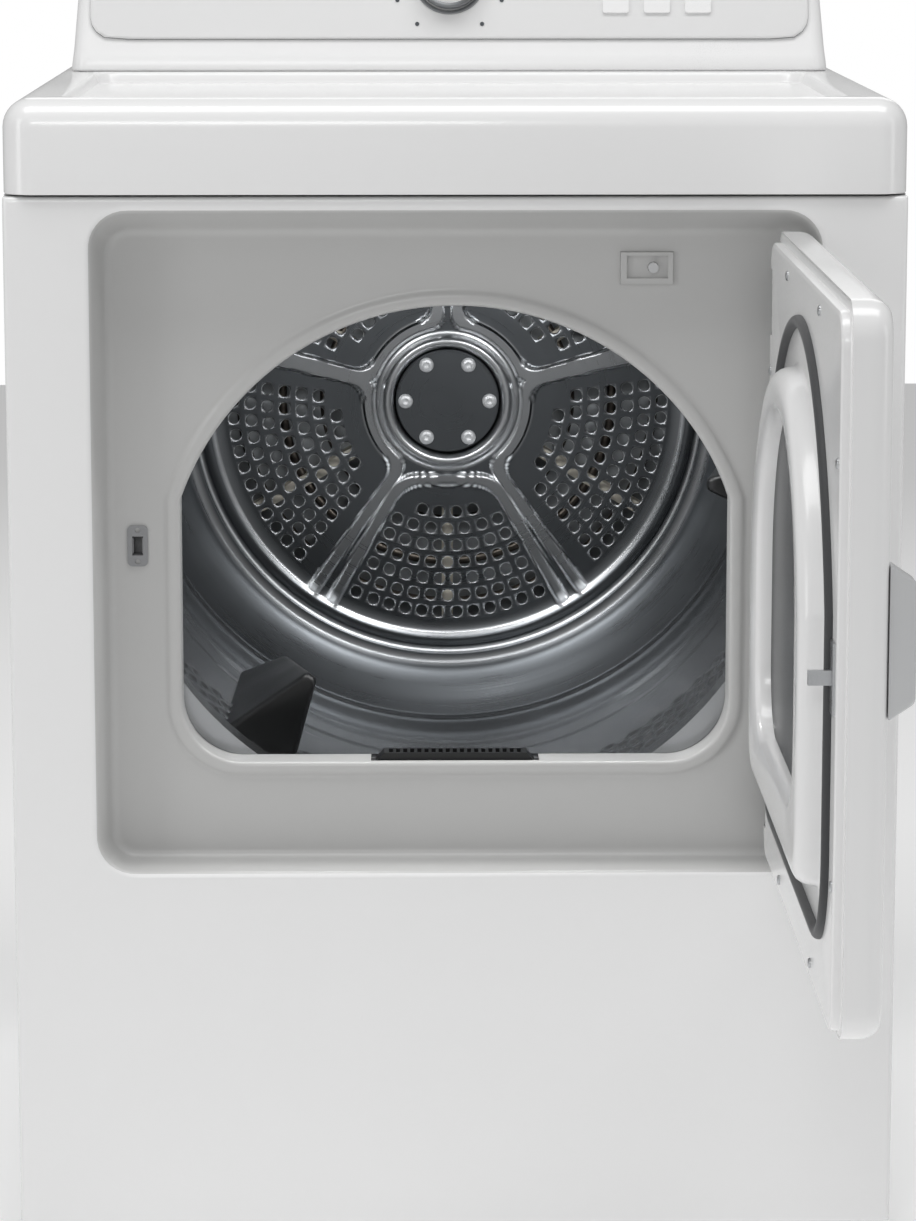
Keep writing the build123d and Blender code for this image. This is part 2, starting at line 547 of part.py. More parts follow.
post = block(ARM_X - 62, ARM_X - 42, 396, 400, PAN_Z + 1.5, ARM_Z + 6)
post += block(ARM_X - 62, ARM_X + 8, 396, 400, ARM_Z - 12, ARM_Z + 6)
save("idler_post", post + rod_y(5, arm_y0 - 3, 397, ARM_X, ARM_Z))

# ---------------------------------------------------------------- switch, catch and hinges on the cabinet
switch = block(127, 167.5, 40.5, 60, 761.7, 786.3) - block(132, 163.6, 39, 43, 766.2, 783.4)
save("door_switch", switch - rod_y(4.2, 30, 58, 152.2, 774.6))
plunger = rod_y(4, 37.5, 50, 152.2, 774.6) + rod_y(2.6, 50, 53, 152.2, 774.6)
save("door_switch_plunger", plunger)
catch = slab(Pos(CATCH_X, CATCH_Z) * RectangleRounded(16, 32, 4), 41.4, 43)
catch += block(CATCH_X - 5.8, CATCH_X + 5.8, 43, 60, CATCH_Z - 9.8, CATCH_Z + 9.8)
catch -= block(CATCH_X - 4.2, CATCH_X + 4.2, 40, 58, CATCH_Z - 7.5, CATCH_Z + 7.5)
catch -= rod_y(1.9, 40, 46, CATCH_X, CATCH_Z + 12.4) + rod_y(1.9, 40, 46, CATCH_X, CATCH_Z - 12.4)
springs = [block(CATCH_X - 4.1, CATCH_X - 3.3, 43.5, 57, CATCH_Z - 6, CATCH_Z + 6),
           block(CATCH_X + 3.3, CATCH_X + 4.1, 43.5, 57, CATCH_Z - 6, CATCH_Z + 6)]
save("door_catch", catch, *springs)
brackets, pins, leaves = [], [], []
for z in HINGE_HEIGHTS:
    knuckle = rod_z(5, z - 12, z + 12, HINGE_X, HINGE_Y) + block(261.5, 266.5, 16, 42, z - 12, z + 12)
    knuckle += block(246, 267, 41.4, 43, z - 20, z + 20)
    brackets.append(knuckle - rod_z(2.55, z - 30, z + 30, HINGE_X, HINGE_Y))
    leaf = block(222, 260, 33.6, 35.6, z - 22.5, z + 22.5)
    for low in (z - 22.5, z + 12.6):
        leaf += block(259, 264, HINGE_Y, 35.6, low, low + 9.9)
        leaf += rod_z(5, low, low + 9.9, HINGE_X, HINGE_Y)
    leaves.append(opened(leaf - rod_z(2.55, z - 30, z + 30, HINGE_X, HINGE_Y)))
    pins.append(rod_z(2.5, z - 23, z + 23, HINGE_X, HINGE_Y))
save("hinge_brackets", *brackets)
save("hinge_pins", *pins)
save("door_hinge_leaves", *leaves)

# ---------------------------------------------------------------- door, drawn closed and then opened
door_outline = rounded(DOOR_HALF, DOOR_LOW, DOOR_HIGH, 26)
outer = slab(door_outline, DOOR_FACE, DOOR_SPLIT)
outer = fillet(outer.faces().sort_by(Axis.Y)[0].edges(), 9)
cavity = slab(rounded(DOOR_HALF - SHEET, DOOR_LOW + SHEET, DOOR_HIGH - SHEET, 26 - SHEET), DOOR_FACE + SHEET, 40)
cavity = fillet(cavity.faces().sort_by(Axis.Y)[0].edges(), 9 - SHEET)
outer -= cavity
INNER_HALF, INNER_LOW, INNER_HIGH = 264.0, 320.0, 798.0
inner = slab(rounded(INNER_HALF, INNER_LOW, INNER_HIGH, 22), DOOR_SPLIT, DOOR_INNER)
inner -= slab(rounded(INNER_HALF - 1.4, INNER_LOW + 1.4, INNER_HIGH - 1.4, 20.6), DOOR_SPLIT - 1, DOOR_INNER - 1.4)
edge = SHEET + 0.3
flange = slab(rounded(DOOR_HALF - edge, DOOR_LOW + edge, DOOR_HIGH - edge, 26 - edge), 28.6, 30)
inner += flange - slab(rounded(INNER_HALF - 1.4, INNER_LOW + 1.4, INNER_HIGH - 1.4, 20.6), 20, 40)
inner += slab(d_shape(-12), DOOR_INNER, PLUG_TOP)
inner -= slab(d_shape(-14), DOOR_INNER - 5, PLUG_TOP - 2)
insert_outline = Pos(0, 572) * (Ellipse(150, 128) + Pos(0, -64) * RectangleRounded(300, 128, 50))
inner -= slab(insert_outline, DOOR_INNER - 5, PLUG_TOP + 5)
well = Pos(0, 572) * (Ellipse(151.4, 129.4) + Pos(0, -64) * RectangleRounded(302.8, 130.8, 51.4))
inner += slab(well - insert_outline, DISH_Y, PLUG_TOP)
for z in HINGE_HEIGHTS:
    notch = block(246, 272, 8, 40, z - 25, z + 25)
    outer -= notch
    inner -= notch
save("door_outer_shell", opened(outer))
save("door_inner_panel", opened(inner))
grown = Pos(0, 572) * (Ellipse(158, 136) + Pos(0, -64) * RectangleRounded(316, 144, 56))
dish = slab(grown, DISH_Y - 2.85, DISH_Y - 0.05)
save("door_dish", opened(dish))
save("door_gasket", opened(slab(d_shape(23) - d_shape(14), DOOR_INNER + 0.05, 42.4)))
handle = make_face(Polyline((-52, -3), (-40, 15), (40, 15), (52, -3), close=True))
handle = extrude(Plane(origin=(-264, 0, 584), x_dir=(0, 0, 1), z_dir=(1, 0, 0)) * handle, amount=22)
handle -= block(-257, -240, -9, 0.5, 540, 628)
save("door_handle", opened(handle))
strike = block(CATCH_X - 9, CATCH_X + 9, DOOR_INNER + 0.05, DOOR_INNER + 1.6, CATCH_Z - 24, CATCH_Z + 24)
strike += block(CATCH_X - 1.8, CATCH_X + 1.8, DOOR_INNER + 1, 54, CATCH_Z - 5, CATCH_Z + 5)
save("door_strike", opened(strike))
door_screws = []
for x, z in ((250, 700), (250, 420), (-253, 700), (-253, 420), (-120, 785), (120, 785), (-120, 333), (120, 333)):
    door_screws.append(opened(rod_y(3.6, DOOR_INNER + 0.05, DOOR_INNER + 1.8, x, z)))
save("door_screws", *door_screws)

# ---------------------------------------------------------------- terminal block and screws at the back
save("terminal_block", block(TERMINAL_X - 28, TERMINAL_X + 28, 618, CABINET_D - 1.3, TERMINAL_Z - 20, TERMINAL_Z + 20))
cover = block(TERMINAL_X - 40, TERMINAL_X + 40, CABINET_D + 0.05, CABINET_D + 14, TERMINAL_Z - 44, TERMINAL_Z + 34)
cover -= block(TERMINAL_X - 38.6, TERMINAL_X + 38.6, CABINET_D - 1, CABINET_D + 12.6, TERMINAL_Z - 50, TERMINAL_Z + 32.6)
save("terminal_cover", cover)
back_screws = []
for x in (-330, 330):
    for z in (60, 250, 440, 630, 810):
        back_screws.append(rod_y(4, CABINET_D + 0.05, CABINET_D + 2.6, x, z))
save("rear_screws", *back_screws)
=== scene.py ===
"""Clothes dryer with its door open: visible pieces, finishes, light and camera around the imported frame.

Lengths inside the shape functions are in millimetres, with y = 0 on the front panel's face and z = 0 on the
floor. place() turns them to metres in the frame's own axes.
"""
import json
from math import atan2, cos, pi, radians, sin, sqrt

import bmesh
import bpy
import numpy as np
from bpy.props import FloatProperty, FloatVectorProperty, PointerProperty
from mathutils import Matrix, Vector


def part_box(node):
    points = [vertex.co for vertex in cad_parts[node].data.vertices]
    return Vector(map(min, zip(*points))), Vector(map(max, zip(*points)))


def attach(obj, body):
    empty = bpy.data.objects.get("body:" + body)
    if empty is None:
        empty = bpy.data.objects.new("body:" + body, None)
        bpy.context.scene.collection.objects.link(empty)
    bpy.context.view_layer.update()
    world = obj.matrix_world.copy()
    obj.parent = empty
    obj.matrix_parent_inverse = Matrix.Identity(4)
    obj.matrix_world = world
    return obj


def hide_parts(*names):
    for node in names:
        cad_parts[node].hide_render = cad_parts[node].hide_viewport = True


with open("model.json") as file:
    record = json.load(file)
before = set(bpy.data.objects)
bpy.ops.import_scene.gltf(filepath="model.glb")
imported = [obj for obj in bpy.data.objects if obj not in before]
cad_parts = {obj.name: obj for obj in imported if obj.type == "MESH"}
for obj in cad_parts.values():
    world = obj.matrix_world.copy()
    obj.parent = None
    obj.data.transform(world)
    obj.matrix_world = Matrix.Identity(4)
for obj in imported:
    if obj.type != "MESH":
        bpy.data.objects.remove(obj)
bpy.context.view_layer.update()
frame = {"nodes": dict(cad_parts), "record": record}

bl_info = {
    "name": "Clothes dryer",
    "version": (1, 0, 0),
    "blender": (4, 5, 0),
    "location": "View3D > Sidebar > Dryer",
    "description": "Builds the visible pieces of a front loading clothes dryer around its packed frame",
    "category": "Add Mesh",
}

PANEL_LOW, PANEL_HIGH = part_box("front_panel")
FACE_Y = PANEL_LOW.y                                  # the front panel's face
HALF_W = PANEL_HIGH.x * 1000
PANEL_BOTTOM = PANEL_LOW.z * 1000
PANEL_TOP = PANEL_HIGH.z * 1000
LID_LOW, LID_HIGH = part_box("top_lid")
DRUM_LOW, DRUM_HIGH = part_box("drum_shell")
DRUM_Z = (DRUM_LOW.z + DRUM_HIGH.z) * 500
DRUM_FRONT = (DRUM_LOW.y - FACE_Y) * 1000
DRUM_REAR = (DRUM_HIGH.y - FACE_Y) * 1000
WALL_R = DRUM_HIGH.x * 1000 - 5                       # inside of the drum's wall, clear of its beads
PIN_LOW, PIN_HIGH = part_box("hinge_pins")
HINGE_X = (PIN_LOW.x + PIN_HIGH.x) * 500
HINGE_Y = ((PIN_LOW.y + PIN_HIGH.y) / 2 - FACE_Y) * 1000


# ---------------------------------------------------------------- colours, sizes
def linear(code):
    """The linear red, green, blue and alpha of an sRGB colour written as #rrggbb."""
    parts = [int(code[i:i + 2], 16) / 255 for i in (1, 3, 5)]
    return [c / 12.92 if c <= 0.04045 else ((c + 0.055) / 1.055) ** 2.4 for c in parts] + [1.0]


def length(name, default, text):
    """A size a user may change, in metres."""
    return FloatProperty(name=name, default=default, min=0.0, unit="LENGTH", precision=4, description=text)


def tint(name, code, text):
    """A colour a user may change, its default given as #rrggbb."""
    return FloatVectorProperty(name=name, default=linear(code)[:3], size=3, min=0.0, max=1.0,
                               subtype="COLOR", description=text)


class DryerSizes(bpy.types.PropertyGroup):
    """Sizes of the visible pieces that a user may change."""
    rim_round: length("Recess rim", 0.005, "Radius of the soft edge round the door recess")
    lip_width: length("Opening lip", 0.012, "Width of the raised lip round the drum's opening")
    lid_round: length("Lid edge", 0.022, "Radius of the lid's front and side edges")
    door_round: length("Door edge", 0.011, "Radius of the outer shell's edges")
    rib_width: length("Rib width", 0.0125, "Width of the ribs pressed in the drum's back")
    rib_height: length("Rib height", 0.0034, "Height of the ribs pressed in the drum's back")
    hole_radius: length("Hole radius", 0.005, "Radius of the air holes in the drum's back")
    dimple_pitch: length("Dimple pitch", 0.024, "Distance between dimples round the drum's wall")
    dimple_height: length("Dimple height", 0.0034, "How far a dimple stands in from the drum's wall")
    bead_height: length("Bead height", 0.0048, "How far the wall's beads stand out")
    baffle_round: length("Baffle edge", 0.007, "Radius of a lifting baffle's crest")


class DryerColours(bpy.types.PropertyGroup):
    """Colours of the visible pieces that a user may change."""
    enamel: tint("Enamel", "#ececec", "Baked enamel of the cabinet, lid and door")
    # The recess's enamel is painted greyer than the face: painted shade of the recess.
    inner: tint("Inner enamel", "#bebebd", "Greyer enamel inside the door recess, its painted shade")
    plastic: tint("White plastic", "#f0f0f0", "Moulded console and fascia")
    dish: tint("Door dish", "#5c5d5e", "Grey dish inside the door")
    drum: tint("Drum steel", "#a6a8aa", "Rolled steel of the drum's wall")
    back: tint("Drum back", "#54575a", "Pressed steel of the drum's back")
    rubber: tint("Rubber", "#3b3c3e", "Door seal")
    dark: tint("Dark plastic", "#151617", "Baffles and lint grille")


def mm(name):
    """One of the sizes above, in millimetres."""
    return getattr(bpy.context.scene.dryer_sizes, name) * 1000


def colour(name):
    """One of the colours above, with an alpha of one."""
    return list(getattr(bpy.context.scene.dryer_colours, name)) + [1.0]


# ---------------------------------------------------------------- outlines and surfaces
def rounded_polygon(corners, radii, steps=10):
    """Corners of a counterclockwise polygon, each replaced by an arc of its radius that touches both sides."""
    points = []
    count = len(corners)
    for i, radius in enumerate(radii):
        here = np.array(corners[i], float)
        back = np.array(corners[i - 1], float) - here
        ahead = np.array(corners[(i + 1) % count], float) - here
        back, ahead = back / np.linalg.norm(back), ahead / np.linalg.norm(ahead)
        half = np.arccos(np.clip(back @ ahead, -1, 1)) / 2
        middle = back + ahead
        centre = here + middle / np.linalg.norm(middle) * radius / sin(half)
        first = here + back * radius / np.tan(half) - centre
        last = here + ahead * radius / np.tan(half) - centre
        start, end = atan2(first[1], first[0]), atan2(last[1], last[0])
        turn = (end - start + pi) % (2 * pi) - pi
        a = start + np.linspace(0, 1, steps) * turn
        points.append(centre + radius * np.stack([np.cos(a), np.sin(a)], -1))
    return np.concatenate(points)


def box_outline(half, low, high, radius):
    """A rounded rectangle, centred on x = 0: its half width, lowest and highest z, and corner radius."""
    corners = [(-half, low), (half, low), (half, high), (-half, high)]
    return rounded_polygon(corners, [max(radius, 0.05)] * 4, 16)


ARCH_HALF, ARCH_LOW, ARCH_Z, ARCH_R, ARCH_CORNER = 213.5, 387.0, 519.0, 226.0, 48.0


def arch_outline(grow=0.0):
    """The drum opening's outline, offset outwards: straight sides between two round corners and an arc."""
    half, low = ARCH_HALF + grow, ARCH_LOW - grow
    r, c = ARCH_R + grow, ARCH_CORNER + grow
    quarter = np.linspace(-pi / 2, 0, 20)
    right = np.stack([half - c + c * np.cos(quarter), low + c + c * np.sin(quarter)], -1)
    start = np.arccos(half / r)
    arc = np.linspace(start, pi - start, 80)
    top = np.stack([r * np.cos(arc), ARCH_Z + r * np.sin(arc)], -1)
    left = right[::-1] * [-1, 1]
    return np.concatenate([right, top, left])


def dish_outline(grow=0.0):
    """The outline of the door's dish: half an ellipse over a rounded box."""
    a, b = 150.0 + grow, 128.0 + grow
    arc = np.linspace(0, pi, 60)
    top = np.stack([a * np.cos(arc), 572 + b * np.sin(arc)], -1)
    corner = 50.0 + grow
    quarter = np.linspace(-pi, -pi / 2, 16)
    low = 444.0 - grow
    left = np.stack([-a + corner + corner * np.cos(quarter), low + corner + corner * np.sin(quarter)], -1)
    return np.concatenate([top, left, left[::-1] * [-1, 1]])


def spread(outline, turns, centre):
    """Points of a closed outline as seen along each direction from a centre, by linear interpolation."""
    closed = np.vstack([outline, outline[:1]])
    step = np.linalg.norm(np.diff(closed, axis=0), axis=1)
    along = np.concatenate([[0], np.cumsum(step)])
    fine = np.unique(np.concatenate([along, np.arange(0, along[-1], 1.0)]))
    points = np.stack([np.interp(fine, along, closed[:, k]) for k in (0, 1)], -1)
    rel = points - centre
    seen = np.arctan2(rel[:, 1], rel[:, 0])
    order = np.argsort(seen)
    return np.stack([np.interp(turns, seen[order], points[order, k], period=2 * pi) for k in (0, 1)], -1)


def directions(count, *extra):
    """Even directions round a circle, with further ones put in where a sharp corner lies."""
    even = np.arange(count) / count * 2 * pi - pi
    return np.unique(np.concatenate([even, np.array(extra, float)]))


def walls(outlines, depths, turns, centre):
    """Rows of points, one row per outline, each at its own depth y."""
    rows = [spread(outline, turns, centre) for outline in outlines]
    return np.stack([np.insert(row, 1, depth, axis=1) for row, depth in zip(rows, depths)])


def quads(rows, columns, closed=True):
    """Faces of a grid of points: each joins a point, the next in its row and the two in the next row."""
    i, j = np.meshgrid(np.arange(rows - 1), np.arange(columns if closed else columns - 1), indexing="ij")
    k = (j + 1) % columns
    corners = [i * columns + j, i * columns + k, (i + 1) * columns + k, (i + 1) * columns + j]
    return np.stack(corners, -1).reshape(-1, 4)


def surface(grid, closed=True, caps=""):
    """(points, faces) of a grid, its first and last rows shut by a flat face where caps holds s or e."""
    rows, columns = grid.shape[:2]
    faces = quads(rows, columns, closed).tolist()
    if "s" in caps:
        faces.append(list(range(columns))[::-1])
    if "e" in caps:
        faces.append([(rows - 1) * columns + j for j in range(columns)])
    return grid.reshape(-1, 3), faces


def joined(*parts):
    """Several (points, faces) put into one."""
    points, faces, start = [], [], 0
    for part_points, part_faces in parts:
        points.append(part_points)
        faces += [[v + start for v in face] for face in part_faces]
        start += len(part_points)
    return np.concatenate(points), faces


def place(points):
    """Millimetres from the front panel's face to metres in the frame."""
    return points * 0.001 + [0, FACE_Y, 0]


def swing(points):
    """A point of the closed door, turned a quarter turn about the hinge, to where the door stands open."""
    x, y = points[..., 0] - HINGE_X, points[..., 1] - HINGE_Y
    return np.stack([HINGE_X - y, HINGE_Y + x, points[..., 2]], -1)


def cut_window(bm, low, high):
    """Slices the faces near a box along its planes and drops what lies inside it."""
    low, high = Vector(place(np.array(low, float))), Vector(place(np.array(high, float)))
    for axis in range(3):
        for value in (low[axis], high[axis]):
            near = []
            for face in bm.faces:
                co = [v.co for v in face.verts]
                if all(min(c[k] for c in co) <= high[k] and max(c[k] for c in co) >= low[k] for k in range(3)):
                    near.append(face)
            parts = set(near) | {e for f in near for e in f.edges} | {v for f in near for v in f.verts}
            plane, normal = Vector(), Vector()
            plane[axis], normal[axis] = value, 1.0
            bmesh.ops.bisect_plane(bm, geom=list(parts), dist=1e-7, plane_co=plane, plane_no=normal)
    inside = [f for f in bm.faces
              if all(low[k] < f.calc_center_median()[k] < high[k] for k in range(3))]
    bmesh.ops.delete(bm, geom=inside, context="FACES")


def add_piece(name, parts, finish, body, stands_for=(), wall=0.0, outward=True, windows=(),
              sharp=32,
              turned=False, marks=None, worn=None):
    """Makes a mesh object from (points, faces), welds and orients it, and sets what it rides on and stands for."""
    points, faces = parts
    if turned:
        points = swing(points)
    mesh = bpy.data.meshes.new(name)
    mesh.from_pydata(place(points).tolist(), [], faces)
    if marks is not None:
        mesh.polygons.foreach_set("material_index", np.array(marks, np.int32))
    # Share of a painted highlight at each point, kept as a mesh attribute that the finish reads.
    if worn is not None:
        mesh.attributes.new("worn", "FLOAT", "POINT").data.foreach_set("value", worn.astype(np.float32))
    bm = bmesh.new()
    bm.from_mesh(mesh)
    bmesh.ops.remove_doubles(bm, verts=bm.verts, dist=1e-6)
    for low, high in windows:
        cut_window(bm, low, high)
    loose = [v for v in bm.verts if not v.link_faces]
    bmesh.ops.delete(bm, geom=loose, context="VERTS")
    if outward:
        bmesh.ops.recalc_face_normals(bm, faces=bm.faces)
    border = np.array([edge.is_boundary for edge in bm.edges], bool)
    bm.to_mesh(mesh)
    bm.free()
    if not mesh.polygons:
        raise RuntimeError(f"{name} came out with no faces")
    mesh.polygons.foreach_set("use_smooth", np.ones(len(mesh.polygons), bool))
    mesh.set_sharp_from_angle(angle=radians(sharp))
    if wall and border.any():
        creased = np.zeros(len(mesh.edges), bool)
        mesh.edges.foreach_get("use_edge_sharp", creased)
        mesh.edges.foreach_set("use_edge_sharp", creased | border)
    piece = bpy.data.objects.new(name, mesh)
    bpy.context.scene.collection.objects.link(piece)
    for made in finish if isinstance(finish, (list, tuple)) else [finish]:
        mesh.materials.append(made)
    if wall:
        shell = piece.modifiers.new("Wall", "SOLIDIFY")
        shell.thickness = wall / 1000
        shell.offset = -1
    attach(piece, body)
    if stands_for:
        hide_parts(*stands_for)
    return piece


def lathe(profile, z=DRUM_Z, x=0.0, count=256):
    """A profile of (radius, y) turned about a line along Y."""
    r, y = np.array(profile, float).T
    a = np.arange(count) / count * 2 * pi
    return np.stack([x + r[:, None] * np.cos(a), np.repeat(y[:, None], count, 1), z + r[:, None] * np.sin(a)],
                    -1)


# ---------------------------------------------------------------- materials
def add_node(tree, kind, inputs=None, **settings):
    """Adds a node with its settings; each input is a value or another node's output."""
    node = tree.nodes.new(kind)
    for name, value in settings.items():
        setattr(node, name, value)
    for socket, value in (inputs or {}).items():
        if isinstance(value, bpy.types.NodeSocket):
            tree.links.new(value, node.inputs[socket])
        else:
            node.inputs[socket].default_value = value
    return node


def finish(name, tone, metallic=0.0, roughness=0.4, grain=1.0, relief=0.02, blotch=60.0, shade=0.94,
           spread_of=0.06,
           stretch=(1, 1, 1), coat=0.0, sheen=0.0, cells=False, ring=False, worn=None,
           glow=0.0):
    """A procedural surface: fine relief and broad change of gloss and tone, both sized in real millimetres.

    The fine pattern is noise, or cells where the metal has spangle, with its grain size in mm. With ring the
    pattern runs round the drum's axis: it reads the distance from that axis instead of x and z. With
    worn the surface turns to that tone where the mesh's attribute of the same name is high:
    that bright tone is a painted highlight.
    """
    made = bpy.data.materials.new(name)
    made.use_nodes = True
    tree = made.node_tree
    tree.nodes.clear()
    where = add_node(tree, "ShaderNodeTexCoord").outputs["Object"]
    if ring:
        centred = add_node(tree, "ShaderNodeVectorMath", {0: where, 1: (0, 0, -DRUM_Z / 1000)},
                           operation="ADD")
        flat = add_node(tree, "ShaderNodeVectorMath", {0: centred.outputs[0], 1: (1, 0, 1)},
                        operation="MULTIPLY")
        reach = add_node(tree, "ShaderNodeVectorMath", {0: flat.outputs[0]}, operation="LENGTH")
        axes = add_node(tree, "ShaderNodeSeparateXYZ", {0: where})
        where_fine = add_node(tree, "ShaderNodeCombineXYZ",
                              {0: reach.outputs["Value"], 1: axes.outputs[1]}).outputs[0]
    else:
        where_fine = where
    scaled = add_node(tree, "ShaderNodeMapping", {"Vector": where_fine, "Scale": stretch}).outputs[0]
    if cells:
        fine = add_node(tree, "ShaderNodeTexVoronoi",
                        {"Vector": scaled, "Scale": 1000 / grain}).outputs["Color"]
        fine = add_node(tree, "ShaderNodeRGBToBW", {"Color": fine}).outputs[0]
    else:
        fine = add_node(tree, "ShaderNodeTexNoise",
                        {"Vector": scaled, "Scale": 1000 / grain, "Detail": 3.0}).outputs[0]
    broad = add_node(tree, "ShaderNodeTexNoise",
                     {"Vector": where, "Scale": 1000 / blotch, "Detail": 4.0}).outputs[0]
    both = add_node(tree, "ShaderNodeMath", {0: broad, 1: fine}, operation="ADD").outputs[0]
    darker = [c * shade for c in tone[:3]] + [1.0]
    hue = add_node(tree, "ShaderNodeMix", {0: fine if cells else broad, 6: darker, 7: tone}, data_type="RGBA")
    paint = hue.outputs[2]
    if worn:
        highlight_share = add_node(tree, "ShaderNodeAttribute", attribute_name="worn").outputs["Fac"]
        bright = add_node(tree, "ShaderNodeMix", {0: highlight_share, 6: paint, 7: worn}, data_type="RGBA")
        paint = bright.outputs[2]
    gloss = add_node(tree, "ShaderNodeMapRange", {"Value": both, "From Min": 0.6, "From Max": 1.4,
                                                  "To Min": max(0.03, roughness - spread_of),
                                                  "To Max": roughness + spread_of})
    bump = add_node(tree, "ShaderNodeBump", {"Height": fine, "Strength": 1.0, "Distance": relief / 1000})
    shader = add_node(tree, "ShaderNodeBsdfPrincipled", {
        "Base Color": paint, "Roughness": gloss.outputs[0], "Normal": bump.outputs[0],
        "Metallic": metallic, "Coat Weight": coat, "Coat Roughness": 0.08, "Sheen Weight": sheen,
        "Emission Color": (1.0, 1.0, 1.0, 1.0), "Emission Strength": glow})
    add_node(tree, "ShaderNodeOutputMaterial", {"Surface": shader.outputs[0]})
    return made


FINISHES = {}


def finishes():
    """Every finish of the dryer, made once and kept by name."""
    if FINISHES:
        return FINISHES

    def keep(slot, name, tone, **settings):
        FINISHES[slot] = finish(name, linear(tone) if tone[0] == "#" else colour(tone), **settings)

    # Baked enamel on steel: even white with a wet gloss and a faint orange peel 3 mm across.
    keep("white_enamel", "enamel_baked_white", "enamel", roughness=0.24, grain=3.0, relief=0.006,
         blotch=220, shade=0.985, spread_of=0.03, coat=0.35)
    # The same enamel inside the recess, made greyer and less glossy: the greyer tone is painted shade of the recess.
    keep("inner_enamel", "enamel_baked_inner_coat", "inner", roughness=0.34, grain=3.0, relief=0.008,
         blotch=260, shade=0.97, spread_of=0.04, coat=0.15)
    # Moulded ABS: white, softer gloss than enamel, with spark-erosion grain of 0.8 mm.
    keep("white_plastic", "abs_moulded_white", "plastic", roughness=0.3, grain=0.8, relief=0.006,
         blotch=90, shade=0.98, spread_of=0.04, coat=0.15)
    # Printed polycarbonate overlay of the fascia: flat light grey with a fine matt texture.
    keep("fascia", "polycarbonate_overlay_pale_grey", "#e2e2e2", roughness=0.34, grain=0.6,
         relief=0.004, blotch=150, shade=0.975, spread_of=0.04)
    # Rolled stainless drum wall: drawn streaks round the axis about 1.2 mm apart, bright but streaky.
    keep("drum_steel", "stainless_rolled_drum", "drum", metallic=0.92, roughness=0.22, grain=1.2,
         relief=0.004, blotch=60, shade=0.85, spread_of=0.06, ring=True)
    # Pressed coated steel of the drum's back: dark, satin, with faint circular drawing marks.
    # The near white tone on rib shoulders, rims and hole edges is a painted highlight.
    keep("drum_back", "steel_pressed_dark", "back", metallic=1.0, roughness=0.3, grain=2.0, relief=0.01,
         blotch=70, shade=0.75, spread_of=0.06, ring=True, worn=linear("#f4f6f8"))
    # Hot dip galvanised sheet: grey with crystal spangle about 9 mm across.
    keep("galvanised", "steel_galvanised", "#a3a7aa", metallic=1.0, roughness=0.42, grain=9,
         relief=0.008, blotch=120, shade=0.78, spread_of=0.1, cells=True)
    # Moulded black polypropylene: deep grey, low sheen, leather grain of 1 mm.
    keep("dark_plastic", "polypropylene_moulded_black", "dark", roughness=0.42, grain=1.0, relief=0.03,
         blotch=70, shade=0.8, spread_of=0.07)
    # Moulded grey ABS: mid grey, satin.
    keep("grey_plastic", "abs_moulded_grey", "#8f9092", roughness=0.38, grain=0.8, relief=0.01,
         blotch=80, shade=0.92, spread_of=0.05)
    # The dish inside the door: grey, smooth and a little glossy, so it takes soft reflections.
    keep("dish", "abs_moulded_dish_grey", "dish", roughness=0.33, grain=1.2, relief=0.008, blotch=120,
         shade=0.93, spread_of=0.05)
    # Extruded EPDM rubber: near black, dull, with fine drag lines.
    keep("rubber", "epdm_extruded", "rubber", roughness=0.62, grain=1.4, relief=0.03, blotch=40,
         shade=0.8, spread_of=0.08, sheen=0.15)
    # Wool felt: pale brown, fibrous, no gloss.
    keep("felt", "felt_wool", "#b0a898", roughness=0.9, grain=0.9, relief=0.4, blotch=12, shade=0.75,
         spread_of=0.05, stretch=(1, 3, 1), sheen=0.5)
    # Zinc plated steel hardware: bright grey with a soft brushed look.
    keep("steel", "steel_zinc_plated", "#c4c6c8", metallic=1.0, roughness=0.3, grain=0.7, relief=0.012,
         blotch=18, shade=0.82, spread_of=0.08, stretch=(1, 1, 5))
    # Painted motor can: grey-green stoved paint over pressed steel.
    keep("motor_body", "motor_can_painted", "#7f868a", metallic=0.6, roughness=0.45, grain=2.0,
         relief=0.03, blotch=50, shade=0.85, spread_of=0.08)
    # Nickel chrome heating strip: brown-grey oxide bloom.
    keep("heater_alloy", "nichrome_oxidised", "#6a645d", metallic=1.0, roughness=0.4, grain=1.5,
         relief=0.02, blotch=14, shade=0.6, spread_of=0.1)
    # Fired steatite: off-white, chalky.
    keep("ceramic_white", "steatite_fired", "#e6e0d2", roughness=0.6, grain=0.7, relief=0.03, blotch=10,
         shade=0.9, spread_of=0.06)
    # Glass epoxy board under green mask: glossy, with the weave just showing through.
    keep("board", "glass_epoxy_board_green", "#1f5c34", roughness=0.32, grain=1.1, relief=0.02,
         blotch=20, shade=0.8, spread_of=0.06, cells=True)
    # Sintered bronze bearing: matt, porous.
    keep("bronze", "bronze_sintered", "#a9824f", metallic=1.0, roughness=0.45, grain=0.5, relief=0.03,
         blotch=9, shade=0.75, spread_of=0.08)
    # Cold headed screws of the drum's hub: pale, dull zinc.
    keep("bolt", "steel_zinc_dull", "#c4c6c8", metallic=0.35, roughness=0.42, grain=0.8, relief=0.01,
         blotch=12, shade=0.88, spread_of=0.05)
    # Moulded handle and switch: light grey ABS, satin.
    keep("grip", "abs_moulded_light_grey", "#c6c7c8", roughness=0.32, grain=0.8, relief=0.008,
         blotch=70, shade=0.95, spread_of=0.05)
    # Smoked acrylic lenses: dark and glossy.
    keep("lens", "acrylic_smoked", "#54585c", roughness=0.14, grain=2.0, relief=0.002, blotch=6,
         shade=0.85, spread_of=0.03, coat=0.5)
    # Satin silver plating on the dial's ring.
    keep("silver", "abs_plated_satin_silver", "#8c8e90", metallic=0.85, roughness=0.32, grain=0.6,
         relief=0.01, blotch=9, shade=0.85, spread_of=0.06)
